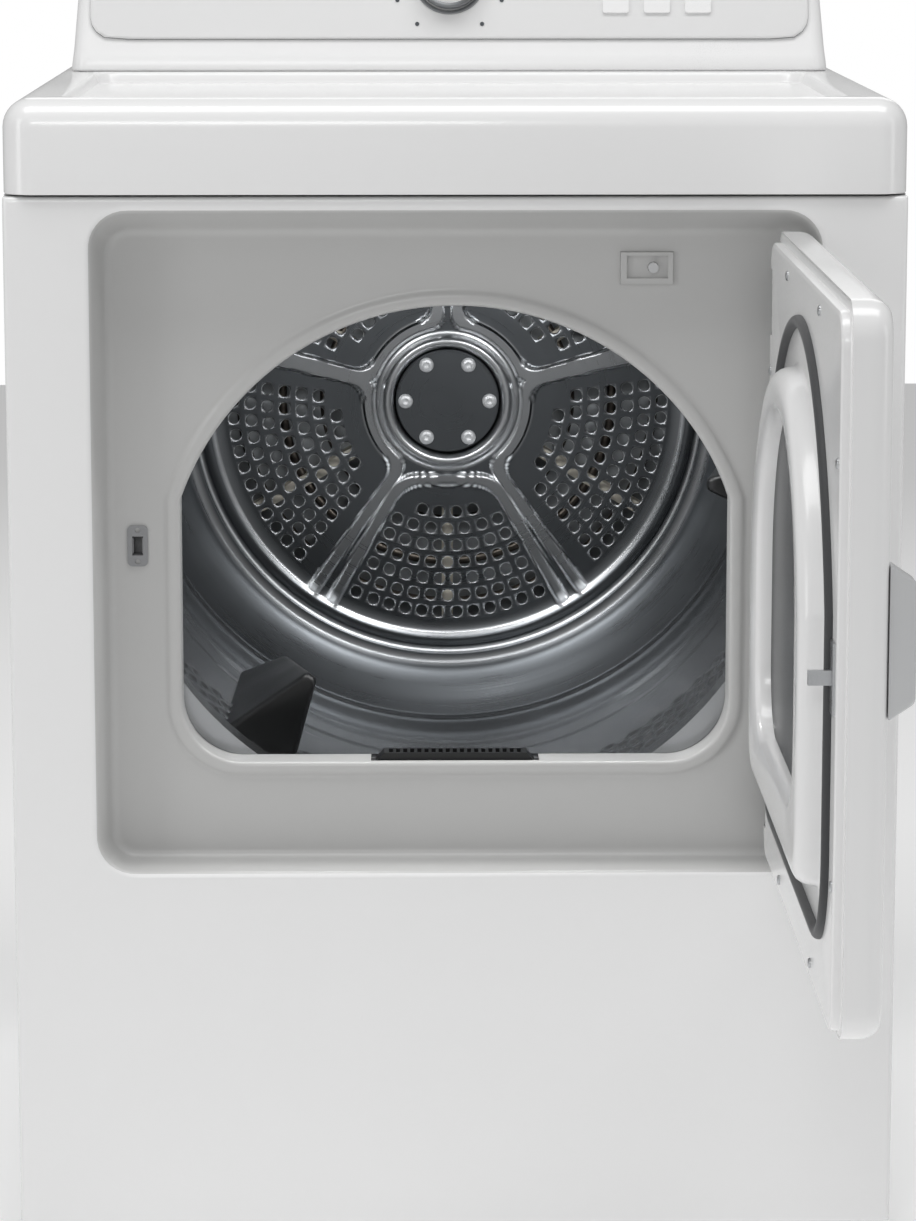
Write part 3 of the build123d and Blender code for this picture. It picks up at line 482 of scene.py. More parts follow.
    # Dark grey on the fascia's edge wall: painted shade of the gap round the fascia.
    keep("fascia_gap_shade", "tpe_moulded_edge_grey", "#6e6f70", roughness=0.6, grain=1.0, relief=0.02, blotch=30,
         shade=0.85, spread_of=0.05)
    return FINISHES


# ---------------------------------------------------------------- shapes of the cabinet
FACE_CENTRE = np.array([0.0, 575.0])                  # middle of the rays that sample the panel's outlines
RECESS_DEPTH = 43.0                                   # from the panel's face to the recess floor
LIP_TOP = 40.0                                        # depth of the raised lip's crest
THROAT_REAR = 69.5                                    # where the opening's throat ends
PANEL_EDGE = 4.0                                      # rounding of the panel's outer edge
FLOOR_FILLET = 6.0                                    # rounding between the recess walls and its floor
DECK_HALF, DECK_FRONT, DECK_REAR = 300.0, 19.0, 396.0  # the lid's sunken deck in plan
DECK_CORNER, LID_CORNER, LID_TOP = 22.0, 24.0, 906.0
RECESS_SHADE_FROM_ROW = 11                                   # first row of the skin that takes the greyer enamel, the recess's painted shade


def quarter(count=7):
    """Sine and cosine of even steps from 0 to a right angle."""
    a = np.linspace(0, pi / 2, count)
    return np.sin(a), np.cos(a)


def front_skin():
    """Front panel: outer edge, flat face, soft rim, tapered recess, its floor, the raised lip and the throat.

    Every row is an outline at one depth; the rows follow the panel's section from its outer edge inwards.
    """
    corner = [atan2(z - FACE_CENTRE[1], x) for x in (-HALF_W, HALF_W) for z in (PANEL_BOTTOM, PANEL_TOP)]
    turns = directions(440, *corner)
    outlines, depths = [], []
    for back in (20, PANEL_EDGE):
        outlines.append(box_outline(HALF_W, PANEL_BOTTOM, PANEL_TOP, 1.5))
        depths.append(back)
    s, c = quarter()
    for rise, run in zip(s[1:], c[1:]):
        inset = PANEL_EDGE * (1 - run)
        outlines.append(box_outline(HALF_W - inset, PANEL_BOTTOM + inset, PANEL_TOP - inset, 1.5 + inset))
        depths.append(PANEL_EDGE * (1 - rise))

    def recess(t, grow):
        """The recess's outline at share t of its depth, grown by some millimetres."""
        return box_outline(277.4 - 8.7 * t + grow, 308 + 3 * t - grow, 821 - 17 * t + grow, 28 - 8 * t + grow)

    soft = mm("rim_round")
    for rise, run in zip(s, c):
        depth = soft * (1 - run)
        outlines.append(recess(depth / RECESS_DEPTH, soft * (1 - rise)))
        depths.append(depth)
    for rise, run in zip(s, c):
        depth = RECESS_DEPTH - FLOOR_FILLET * (1 - rise)
        outlines.append(recess(depth / RECESS_DEPTH, -FLOOR_FILLET * (1 - run)))
        depths.append(depth)
    outlines += [recess(1, -7.2), recess(1, -12)]
    depths += [RECESS_DEPTH, RECESS_DEPTH]
    wide = mm("lip_width")
    lip = ((wide + 4, RECESS_DEPTH), (wide + 2, RECESS_DEPTH), (wide, 42.7), (wide - 1.5, 41.6),
           (wide - 3, 40.5),
           (wide - 5, 40.05), (4, LIP_TOP), (2.4, 40.3), (1.2, 41.0), (0.4, 42.2), (0, 44), (0, THROAT_REAR))
    for grow, depth in lip:
        outlines.append(arch_outline(grow))
        depths.append(depth)
    points, faces = surface(walls(outlines, depths, turns, FACE_CENTRE))
    # Faces from that row inwards take the greyer enamel: painted shade of the recess.
    marks = np.zeros(len(faces), int)
    marks[RECESS_SHADE_FROM_ROW * len(turns):] = 1
    return (points, faces), marks


def lid_skin():
    """Lid: skirt, rounded edge, flat rim and the sunken deck, rows of outlines in plan going up and inwards."""
    edge = mm("lid_round")
    back = (LID_HIGH.y - FACE_Y) * 1000
    front = (LID_LOW.y - FACE_Y) * 1000
    low, top = LID_LOW.z * 1000, LID_HIGH.z * 1000
    half = LID_HIGH.x * 1000

    def plan(inset, back_inset=0.0):
        corners = [(-half + inset, front + inset), (half - inset, front + inset),
                   (half - inset, back - back_inset), (-half + inset, back - back_inset)]
        return rounded_polygon(corners, [max(LID_CORNER - inset, 2.5)] * 2 + [1.2] * 2, 14)

    def deck(grow):
        wide, low_y, high_y = DECK_HALF + grow, DECK_FRONT - grow, DECK_REAR + grow
        corners = [(-wide, low_y), (wide, low_y), (wide, high_y), (-wide, high_y)]
        return rounded_polygon(corners, [max(DECK_CORNER + grow, 2.0)] * 4, 14)

    rows = [(plan(2.0, 2.0), low + 1), (plan(0.6, 0.6), low), (plan(0), low + 0.8), (plan(0), top - edge)]
    s, c = quarter(9)
    rows += [(plan(edge * (1 - run), 0.6), top - edge + edge * rise) for rise, run in zip(s[1:], c[1:])]
    drop = ((0, LID_TOP), (-0.8, 905.6), (-2, 904), (-3.5, 900), (-4.6, 898), (-7, 897.1), (-12, 897),
            (-60, 897),
            (-120, 897), (-170, 897), (-184, 897))
    rows += [(deck(grow), top - LID_TOP + z) for grow, z in drop]
    return surface(np.stack([np.insert(outline, 2, z, axis=1) for outline, z in rows]), caps="e")


FASCIA_LOW = (412.0, 925.0)
FASCIA_HIGH = (455.0, 1065.0)
DIAL_S = 60.0                                         # the dial's height up the slope
SKIRT_ROWS = 6                                        # rows of the dial cap's profile that are silver
SLOPE = atan2(FASCIA_HIGH[0] - FASCIA_LOW[0], FASCIA_HIGH[1] - FASCIA_LOW[1])


def on_slope(x, s, out):
    """Points on the console's sloping face: x across, s up the slope, out straight off it."""
    y = FASCIA_LOW[0] + s * sin(SLOPE) - out * cos(SLOPE)
    z = FASCIA_LOW[1] + s * cos(SLOPE) + out * sin(SLOPE)
    return np.stack([np.broadcast_to(x, y.shape), y, z], -1)


def console_skin():
    """Console: plan outlines at rising heights, their front edge leaning back, closed by a rounded top."""
    low, high = (v * 1000 for v in (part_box("console_shell")[0].z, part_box("console_shell")[1].z))
    heights = np.array([low, 908, 912, 920, 926, 966, 1010, 1050, 1062, 1067, 1071, 1073.6, high])
    fronts = np.array([409.5, 407, 406.6, 409.5, 412.3, 424.6, 438.1, 450.4, 454.6, 458, 463, 468, 476])
    halves = np.array([320.4, 320.9, 320.6, 319.6, 319.0, 316, 310.3, 304.5, 300, 296, 290, 284, 274])
    backs = np.array([605.0] + [605.9] * 8 + [605, 602, 598, 592])
    rows = []
    for z, front, half, back in zip(heights, fronts, halves, backs):
        corners = [(-half, front), (half, front), (half, back), (-half, back)]
        rows.append(np.insert(rounded_polygon(corners, [14] * 2 + [5] * 2, 12), 2, z, axis=1))
    return surface(np.stack(rows), caps="se")


def fascia_plate():
    """Fascia: a rounded rectangle carried straight out of the slope, rounded over, slightly sunk in the middle."""
    turns = directions(300)
    rows = []
    for grow, out in ((0, 0.05), (0, 0.9), (-0.2, 1.9), (-0.9, 2.6), (-2.0, 2.95), (-4, 3.0), (-24, 2.75)):
        outline = box_outline(305 + grow, -64 - grow, 64 + grow, max(20 + grow, 3))
        ring = spread(outline, turns, np.zeros(2))
        rows.append(on_slope(ring[:, 0], 72 + ring[:, 1], np.full(len(ring), float(out))))
    points, faces = surface(np.stack(rows), caps="se")
    # The edge wall's first two rows take the dark grey: painted shade round the fascia.
    marks = np.zeros(len(faces), int)
    marks[:2 * len(turns)] = 1
    return (points, faces), marks


def slope_lathe(profile, x, s, count=96):
    """A profile of (radius, out) turned about a line straight out of the slope."""
    r, out = np.array(profile, float).T
    a = np.arange(count) / count * 2 * pi
    return on_slope(x + r[:, None] * np.cos(a), s + r[:, None] * np.sin(a), out[:, None] + 0 * a)


# ---------------------------------------------------------------- shapes of the drum
WALL_STEPS = 540                                      # points round the drum's wall
DIMPLE_ROWS = 14                                      # rows of dimples, counted from the mouth


def drum_wall():
    """Drum wall: a turned section with a rolled mouth, steps and a bead, dimpled along its own normal.

    A dimple is the positive part of one minus the squared distance from its middle, in a staggered grid.
    """
    y = np.unique(np.concatenate([np.arange(DRUM_FRONT + 16, 300, 2.1), np.arange(300, 380, 10),
                                  np.arange(380, 440, 3),
                                  np.arange(440, DRUM_REAR, 3.0), [DRUM_REAR]]))
    y = np.concatenate([DRUM_FRONT + np.array([0.3, 1.2, 2.2, 3.4, 4.8, 6.4, 8.2, 10.4, 13.0]), y])
    a = np.arange(WALL_STEPS) / WALL_STEPS * 2 * pi

    def bump(middle, half):
        return np.clip(1 - ((y - middle) / half) ** 2, 0, 1) ** 1.5

    bead = mm("bead_height")
    mouth = np.clip((y - DRUM_FRONT) / 13, 0, 1)
    profile = WALL_R - 8.5 * (1 - mouth) ** 1.6 + bead * bump(504, 44) - 3.0 * bump(564, 12) - 3.0 * bump(446,
                                                                                                          9)
    profile = profile + 0.8 * np.clip((y - 440) / 4, 0, 1) * np.clip((460 - y) / 4, 0, 1)
    profile = profile + 0.9 * np.clip((398 - y) / 3, 0, 1) * np.clip((y - 388) / 3, 0, 1)
    along = np.concatenate([[0], np.cumsum(np.hypot(np.diff(profile), np.diff(y)))])
    slope_r, slope_y = np.gradient(profile, along), np.gradient(y, along)
    pitch = mm("dimple_pitch")
    around = round(2 * pi * WALL_R / pitch)
    row = along / (pitch * 0.6)
    lane = np.floor(row)
    across = (a[None, :] / (2 * pi) * around + 0.5 * (lane[:, None] % 2)) % 1 - 0.5
    up = (row - lane)[:, None] - 0.5
    size = (across / 0.40) ** 2 + (up / 0.46) ** 2
    lens = np.where((lane < DIMPLE_ROWS)[:, None], np.clip(1 - size, 0, 1) ** 0.8, 0) * mm("dimple_height")
    radius = profile[:, None] - lens * slope_y[:, None]
    depth = y[:, None] + lens * slope_r[:, None]
    return surface(np.stack([radius * np.cos(a), depth, DRUM_Z + radius * np.sin(a)], -1))


SECTORS = ((270.0, 30.0, True), (200.5, 34.0, False), (339.5, 34.0, False), (130.0, 34.0, False),
           (50.0, 34.0, False))                       # middle, half angle, and whether its inner edge is straight
ROWS = (4, 7, 8, 9, 10, 11, 12)
FIRST_ROW, ROW_STEP, HOLE_PITCH = 101.5, 15.4, 15.6
RIB_BEND, RIB_SHOULDER = 16.0, 2.2                    # how softly a rib turns, and how wide its shoulder is
FLAT_TOP, HUB_ARC = 72.0, 71.0                        # distance of a sector's inner rib from the axis
BACK_STEPS, RINGS_PER_ROW = 720, 10                   # points round the drum's back, rings between two hole rows
HIGHLIGHT_RIMS = ((50.0, 0.8), (61.5, 0.8), (213.0, 0.5), (228.4, 0.5), (239.0, 0.35))  # radius, strength of its painted highlight
BACK_PROFILE = ((9.0, 603.0), (40.0, 603.0), (46.5, 602.6), (48.6, 599.0), (51.0, 595.0), (53.0, 594.0),
                (55.8, 594.0),
                (57.8, 595.2), (60.0, 598.6), (62.5, 600.0), (211.0, 600.0), (213.5, 598.8), (216.5, 596.2),
                (218.5, 595.7), (223, 595.8), (225.0, 596.8), (227.4, 598.8), (229.2, 598.8), (231.0, 596.8),
                (233.0, 596.1), (238.0, 596.3), (240.5, 595.2), (244.0, 592.0), (250, 588.6), (262, 583.6),
                (275, 580.2), (284.9, 578.0))


def back_depth(r, a):
    """Depth of the drum's back at a radius and angle: its turned profile, with the sectors' ribs pressed forward.

    A rib follows the line where the smaller of two distances is zero: to the sector's side and to its inner edge.
    """
    base = np.interp(r, *np.array(BACK_PROFILE).T)
    ridge = np.zeros(np.broadcast(r, a).shape)
    half_rib = mm("rib_width") / 2
    for middle, half, straight in SECTORS:
        off = (a - radians(middle) + pi) % (2 * pi) - pi
        side = r * np.sin(np.clip(radians(half) - np.abs(off), -pi / 2, pi / 2))
        inner = (r * np.cos(off) - FLAT_TOP) if straight else (r - HUB_ARC)
        mix = np.clip(0.5 + (inner - side) / (2 * RIB_BEND), 0, 1)
        line = inner * (1 - mix) + side * mix - RIB_BEND * mix * (1 - mix)
        shoulder = np.clip((half_rib - np.abs(line)) / RIB_SHOULDER, 0, 1)
        shoulder = shoulder * shoulder * (3 - 2 * shoulder)
        near = np.abs(off) < radians(half + 25)
        ridge = np.maximum(ridge, shoulder * near)
    fade = np.clip((r - 61) / 3, 0, 1) * np.clip((214 - r) / 4, 0, 1)
    return base - mm("rib_height") * ridge * fade, ridge * fade


def drum_back():
    """Drum back: a polar grid of back_depth(), in which each air hole replaces a block of cells by a fan.

    A fan joins the block's border to three circles round the hole: its rim, its edge and the foot of its wall.
    Returns the surface and, for each point, how much painted highlight it takes.
    """
    rings = np.concatenate([[9, 25, 38], np.arange(42, 66, 1.5), np.arange(66, 93, 2.2),
                            FIRST_ROW + np.arange(-5, 66) * ROW_STEP / RINGS_PER_ROW])
    rings = np.concatenate([rings, [p[0] for p in BACK_PROFILE if p[0] > rings.max() + 0.6]])
    columns = BACK_STEPS
    a = np.arange(columns) / columns * 2 * pi
    first = int(np.argmin(np.abs(rings - FIRST_ROW)))
    y, raised = back_depth(rings[:, None], a[None, :])
    # Painted highlights: bright rings at the HIGHLIGHT_RIMS radii and between them, peaks on the ribs' shoulders, a
    # little on their tops.
    rims = sum(much * np.exp(-((rings - at) / 1.4) ** 2) for at, much in HIGHLIGHT_RIMS)
    rims = rims + 0.3 * ((rings > 51) & (rings < 61))
    worn = [np.clip(4 * raised * (1 - raised) + 0.16 * raised + rims[:, None], 0, 1).ravel()]
    points = np.stack([rings[:, None] * np.cos(a), y, DRUM_Z + rings[:, None] * np.sin(a)], -1)
    keep = np.ones((len(rings) - 1, columns), bool)
    radius = mm("hole_radius")
    extra, extra_faces, start = [], [], points.shape[0] * columns
    for row, count in enumerate(ROWS):
        i = first + row * RINGS_PER_ROW
        reach_r, r = 4, rings[i]
        reach_a = int(np.floor((HOLE_PITCH / r / (2 * pi) * columns - 1) / 2))
        for middle, _, _ in SECTORS:
            for k in range(count):
                turn = radians(middle) + (k - (count - 1) / 2) * HOLE_PITCH / r
                j = int(round(turn / (2 * pi) * columns))
                cells = np.arange(j - reach_a, j + reach_a) % columns
                keep[i - reach_r:i + reach_r, cells] = False
                di = np.concatenate([np.full(2 * reach_a, -reach_r), np.arange(-reach_r, reach_r),
                                     np.full(2 * reach_a, reach_r), np.arange(reach_r, -reach_r, -1)])
                dj = np.concatenate([np.arange(-reach_a, reach_a), np.full(2 * reach_r, reach_a),
                                     np.arange(reach_a, -reach_a, -1), np.full(2 * reach_r, -reach_a)])
                rim = (i + di) * columns + (j + dj) % columns
                angle = np.arctan2(rings[i + di] - r, r * dj * 2 * pi / columns)
                centre = j / columns * 2 * pi
                loops = [rim]
                for hole_r, sink in ((radius + 0.8, 0.0), (radius, 0.7), (radius, 1.8)):
                    hr = r + hole_r * np.sin(angle)
                    ha = centre + hole_r * np.cos(angle) / r
                    hy = back_depth(hr, ha)[0] + sink
                    # Painted highlight round the hole's edge and wall, and a trace on its rim.
                    worn.append(np.full(len(rim), 0.8 if sink else 0.1))
                    extra.append(np.stack([hr * np.cos(ha), hy, DRUM_Z + hr * np.sin(ha)], -1))
                    loops.append(start + np.arange(len(rim)))
                    start += len(rim)
                for outer, inner in zip(loops, loops[1:]):
                    extra_faces.append(np.stack([outer, np.roll(outer, -1), np.roll(inner, -1), inner], -1))
    faces = quads(len(rings), columns)[keep.ravel()]
    faces = np.concatenate([faces, *extra_faces])
    return (np.concatenate([points.reshape(-1, 3), *extra]), faces.tolist()), np.concatenate(worn)


def baffle(angle):
    """Lifting baffle: a leaning section with a rounded crest, lower towards the drum's back, shut at both ends."""
    low_end, high_end, end_round = 174.0, 446.0, 9.0
    depths = np.concatenate([low_end + end_round * (1 - np.cos(np.linspace(0, pi / 2, 6))),
                             np.linspace(190, 430, 9),
                             high_end - end_round * (1 - np.cos(np.linspace(pi / 2, 0, 6)))])
    rows = []
    for y in depths:
        t = (y - low_end) / (high_end - low_end)
        ends = 1.0
        for inside in (y - low_end, high_end - y):
            ends *= sqrt(max(0.0, min(1.0, 1 - (1 - min(inside, end_round) / end_round) ** 2)))
        height = (80 - 46 * t) * (0.9 + 0.1 * ends)
        half = 36 - 6 * t
        crest = mm("baffle_round")
        corners = [(-half, -1.5), (half * 0.9, -1.5), (8, height), (-7, height)]
        shape = rounded_polygon(corners, [1.5, 1.5, crest, crest], 10)
        shape[:, 0] *= 0.86 + 0.14 * ends
        reach = WALL_R - 0.4 - shape[:, 1]
        a = radians(angle) + shape[:, 0] / WALL_R
        rows.append(np.stack([reach * np.cos(a), np.full(len(a), y), DRUM_Z + reach * np.sin(a)], -1))
    return surface(np.stack(rows), caps="se")


def domes(centres, radius, height, base, out=-1, count=20):
    """Screw heads: low domes with a small dimple in the middle, standing off a plane y = base."""
    share = np.array([1.0, 1.0, 0.9, 0.7, 0.45, 0.2, 0.06])
    rise = np.array([0.0, 0.45, 0.72, 0.9, 0.98, 0.72, 0.72]) * height * out
    parts = []
    for x, z in centres:
        parts.append(surface(lathe(np.stack([share * radius, base + rise], -1), z=z, x=x, count=count),
                             caps="se"))
    return joined(*parts)


# ---------------------------------------------------------------- shapes of the door, drawn closed
DOOR_CENTRE = np.array([0.0, 568.0])


def door_edge(inset):
    """The closed door's outline, drawn in by an inset."""
    return box_outline(270 - inset, 315 + inset, 806 - inset, max(26 - inset, 4))


def door_shell():
    """Door shell: a shallow pan whose edge rolls over a quarter ellipse into the face, crowned by 1 mm."""
    roll = mm("door_round")
    rows = [(door_edge(0), 30.0), (door_edge(0), 3.4 + roll * 1.3)]
    s, c = quarter(9)
    rows += [(door_edge(roll * (1 - run)), 3.4 + roll * 1.3 * (1 - rise)) for rise, run in zip(s[1:], c[1:])]
    rows += [(door_edge(40), 3.1), (door_edge(110), 3.0)]
    return surface(np.stack([np.insert(outline, 1, depth, axis=1) for outline, depth in rows]), caps="e")


def door_liner():
    """Door liner: flange, pan wall, flat field, then the arched rim that rises, rolls over and falls to the dish."""
    turns = directions(400)

    def pan(inset):
        return box_outline(264 - inset, 320 + inset, 798 - inset, max(22 - inset, 4))

    rows = [(door_edge(1.6), 28.7), (door_edge(1.6), 30.0), (door_edge(3.2), 30.3), (pan(-0.6), 30.4),
            (pan(0), 31.2),
            (pan(0), 34.2), (pan(0.7), 36.0), (pan(2.4), 36.9), (pan(4), 37.0)]
    rise = ((-9.5, 37.0), (-11, 37.4), (-12.4, 38.6), (-13.2, 41), (-14, 45), (-15.4, 49), (-18, 52.6),
            (-22, 55),
            (-27, 55.9), (-33, 55.7))
    rows += [(arch_outline(grow), depth) for grow, depth in rise]
    rows += [(dish_outline(grow), depth) for grow,
             depth in ((6, 54.6), (3, 53.2), (1.2, 50.5), (0.3, 46), (0, 42.6))]
    return surface(walls(*zip(*rows), turns, DOOR_CENTRE))


def door_dish():
    """Dish: the well's outline shrunk step by step to its middle, its floor sinking quickly and then level."""
    turns = directions(240)
    middle = np.array([0.0, 560.0])
    edge = spread(dish_outline(-0.4), turns, middle) - middle
    share = np.array([1.0, 0.985, 0.95, 0.88, 0.74, 0.55, 0.35, 0.15, 0.04])
    depth = 42.9 - np.array([0, 1.0, 1.9, 2.5, 2.8, 2.9, 2.9, 2.9, 2.9]) * 0.9
    rows = [np.insert(middle + edge * k, 1, d, axis=1) for k, d in zip(share, depth)]
    return surface(np.stack(rows), caps="e")


def door_seal():
    """Seal: a bulb section carried round the arch, half an ellipse 9 mm wide and 5.3 mm high on a flat foot."""
    turns = directions(360)
    a = np.linspace(0, pi, 11)
    section = [(18.5 + 4.5 * np.cos(t), 37.1 + 5.2 * np.sin(t) ** 0.8) for t in a]
    rows = walls([arch_outline(u) for u, _ in section], [y for _, y in section], turns, DOOR_CENTRE)
    return surface(np.concatenate([rows, rows[:1]]))


def door_grip():
    """Handle: a four sided section carried across the door's edge and rounded over at its ends."""
    def section(inset):
        corners = [(-52 + inset, -3), (52 - inset, -3), (40 - inset * 0.7, 15 - inset),
                   (-40 + inset * 0.7, 15 - inset)]
        return rounded_polygon(corners, [1.2, 1.2, 7, 7], 9)

    rows = []
    for x, inset in ((-264, 3.2), (-263.4, 1.3), (-261.5, 0.2), (-259, 0), (-246, 0), (-243.4, 0.4),
                     (-242.1, 1.6),
                     (-242.2, 3.0), (-244, 3.9), (-257, 4.2)):
        shape = section(inset)
        rows.append(np.stack([np.full(len(shape), float(x)), -shape[:, 1], 584 + shape[:, 0]], -1))
    return surface(np.stack(rows), caps="se")


# ---------------------------------------------------------------- operators
def finish_nodes(names, made):
    """Gives CAD nodes a finish."""
    for name in names:
        node = frame["nodes"][name]
        node.data.materials.clear()
        node.data.materials.append(made)


FLOOR_HALF = 5.5                                      # metres
CAMERA_BACK, CAMERA_X, CAMERA_Z = 3.184, -0.040, 1.084  # metres, from the front panel's face
CAMERA_DOWN, CAMERA_LEFT, CAMERA_LENS = 10.14, -0.75, 124.0  # degrees, degrees, millimetres


class DRYER_OT_stage(bpy.types.Operator):
    """Sets the camera, the pale floor, the soft lights and the white surroundings."""
    bl_idname = "dryer.stage"
    bl_label = "Studio"

    def execute(self, context):
        scene = context.scene
        camera = bpy.data.cameras.new("camera")
        camera.sensor_fit = "VERTICAL"
        camera.sensor_height = camera.sensor_width = 36
        camera.lens = CAMERA_LENS
        camera.clip_end = 60
        holder = bpy.data.objects.new("camera", camera)
        scene.collection.objects.link(holder)
        holder.location = (CAMERA_X, FACE_Y - CAMERA_BACK, CAMERA_Z)
        holder.rotation_euler = (radians(90 - CAMERA_DOWN), 0, radians(CAMERA_LEFT))
        scene.camera = holder

        span = np.linspace(-1, 1, 25)
        reach = np.sign(span) * np.abs(span) ** 2 * FLOOR_HALF
        x, y = np.meshgrid(reach, reach, indexing="ij")
        mesh = bpy.data.meshes.new("floor")
        mesh.from_pydata(np.stack([x, y, 0 * x - 0.0005], -1).reshape(-1, 3).tolist(), [],
                         quads(25, 25, closed=False).tolist())
        floor = bpy.data.objects.new("floor", mesh)
        scene.collection.objects.link(floor)
        mesh.materials.append(finish("floor_acrylic_lit_pale", linear("#f6f6f6"), roughness=0.7, grain=6,
                                     relief=0.02, blotch=900, shade=0.99, spread_of=0.05, glow=0.21))

        for name, power, size, where, aim in (
                ("top_softbox", 40, (3.0, 1.0), (0.0, -0.55, 3.0), (0, -0.2, 0.5)),
                ("front_softbox", 20, (1.3, 0.7), (-0.5, -4.2, 2.3), (0, 0, 0.6)),
                ("left_softbox", 13, (0.8, 2.0), (-2.6, -1.6, 1.4), (0, 0.1, 0.7)),
                ("right_softbox", 8, (0.8, 2.0), (2.8, -1.4, 1.4), (0, 0, 0.7)),
                ("back_softbox", 12, (2.4, 1.4), (0.3, 3.0, 2.2), (0, 0.3, 0.7)),
                ("drum_lamp_left", 1.1, (0.16, 0.10), (-0.13, FACE_Y + 0.16, 0.80),
                 (0.10, FACE_Y + 0.42, 0.45)),
                ("drum_lamp_right", 1.1, (0.16, 0.10), (0.13, FACE_Y + 0.16, 0.80),
                 (-0.10, FACE_Y + 0.42, 0.45))):
            light = bpy.data.lights.new(name, "AREA")
            light.shape, light.size, light.size_y = "RECTANGLE", *size
            light.energy = power
            lamp = bpy.data.objects.new(name, light)
            scene.collection.objects.link(lamp)
            lamp.location = where
            lamp.rotation_euler = (Vector(aim) - Vector(where)).to_track_quat("-Z", "Y").to_euler()

        world = bpy.data.worlds.new("studio")
        scene.world = world
        world.use_nodes = True
        tree = world.node_tree
        tree.nodes.clear()
        seen = add_node(tree, "ShaderNodeBackground", {"Color": (1, 1, 1, 1), "Strength": 1.0})
        lit = add_node(tree, "ShaderNodeBackground", {"Color": (1, 1, 1, 1), "Strength": 0.29})
        path = add_node(tree, "ShaderNodeLightPath")
        mixed = add_node(tree, "ShaderNodeMixShader", {0: path.outputs["Is Camera Ray"], 1: lit.outputs[0],
                                                       2: seen.outputs[0]})
        add_node(tree, "ShaderNodeOutputWorld", {"Surface": mixed.outputs[0]})
        scene.view_settings.view_transform = "Standard"
        return {"FINISHED"}


class DRYER_OT_cabinet(bpy.types.Operator):
    """Builds the front panel with its recess, lip and throat, and the lid with its sunken deck."""
    bl_idname = "dryer.cabinet"
    bl_label = "Front panel and lid"

    def execute(self, context):
        white = finishes()["white_enamel"]
        switch_low, switch_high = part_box("door_switch")
        catch_low, catch_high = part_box("door_catch")
        windows = [
            ((switch_low.x * 1000 - 0.2, 41, switch_low.z * 1000 - 0.2),
             (switch_high.x * 1000 + 0.2, 46, switch_high.z * 1000 + 0.2)),
            ((catch_low.x * 1000 + 2, 41, catch_low.z * 1000 + 6),
             (catch_high.x * 1000 - 2, 46, catch_high.z * 1000 - 6)),
            ((-66, 45, 380), (66, 70, 392)),
        ]
        skin, marks = front_skin()
        add_piece("front_panel_skin", skin, [white, finishes()["inner_enamel"]], "cabinet", ["front_panel"],
                  wall=1.0, windows=windows, marks=marks)
        add_piece("lid_skin", lid_skin(), white, "cabinet", ["top_lid"], wall=1.2)
        finish_nodes(("left_side", "right_side"), white)
        finish_nodes(("rear_panel", "base_pan"), finishes()["galvanised"])
        finish_nodes(("front_bulkhead",), finishes()["drum_steel"])
        return {"FINISHED"}


class DRYER_OT_console(bpy.types.Operator):
    """Builds the console, its fascia, the dial and its ring, and finishes the buttons."""
    bl_idname = "dryer.console"
    bl_label = "Console and controls"

    def execute(self, context):
        f = finishes()
        add_piece("console_body", console_skin(), f["white_plastic"], "cabinet", ["console_shell"])
        plate, marks = fascia_plate()
        add_piece("fascia_plate", plate, [f["fascia"], f["fascia_gap_shade"]], "cabinet", ["console_fascia"],
                  marks=marks)
        ring = [(27.6, 3.05), (31, 3.05), (31, 3.7), (30.4, 4.15), (28.6, 4.2), (27.8, 3.9)]
        grid = slope_lathe(ring, 0, DIAL_S)
        add_piece("dial_ring", surface(np.concatenate([grid, grid[:1]])), f["silver"], "cabinet",
                  ["dial_bezel"])
        knob = [(3, 4.6), (26, 4.6), (26.9, 5.2), (27, 9.5), (26.2, 11.0), (24.6, 11.5), (23.2, 11.6),
                (22.8, 12.4),
                (22.0, 20.0), (21.2, 22.6), (19.6, 24.2), (17, 24.7), (8, 24.9), (0.6, 24.95)]
        grid = slope_lathe(knob, 0, DIAL_S)
        points, faces = surface(grid, caps="se")
        marks = np.zeros(len(faces), int)
        marks[:SKIRT_ROWS * grid.shape[1]] = 1
        add_piece("dial_cap", (points, faces), [f["white_plastic"], f["silver"]], "dial", ["dial_knob"],
                  marks=marks)
        finish_nodes(("temperature_button", "dryness_button", "time_button", "start_button"),
                     f["white_plastic"])
        finish_nodes(("indicator_lenses",), f["lens"])
        finish_nodes(("console_rear_cover",), f["galvanised"])
        finish_nodes(("console_switches",), f["dark_plastic"])
        finish_nodes(("control_boards",), f["board"])
        return {"FINISHED"}


class DRYER_OT_drum(bpy.types.Operator):
    """Builds the drum's wall, pressed back, baffles and hub screws."""
    bl_idname = "dryer.drum"
    bl_label = "Drum"

    def execute(self, context):
        f = finishes()
        add_piece("drum_wall", drum_wall(), f["drum_steel"], "drum", ["drum_shell"],
                  outward=False,
                  sharp=50)
        back, worn = drum_back()
        add_piece("drum_pressed_back", back, f["drum_back"], "drum", ["drum_back"],
                  outward=False, sharp=50, worn=worn)
        parts = joined(*[baffle(angle) for angle in (236, 356, 116)])
        add_piece("drum_baffles", parts, f["dark_plastic"], "drum", ["drum_vanes"])
        bolts = [(38 * cos(a), DRUM_Z + 38 * sin(a)) for a in np.arange(6) * pi / 3]
        add_piece("hub_screws", domes(bolts, 6.6, 3.6, 600.0), f["bolt"], "drum", ["hub_bolts"])
        finish_nodes(("drum_hub",), f["drum_back"])
        return {"FINISHED"}


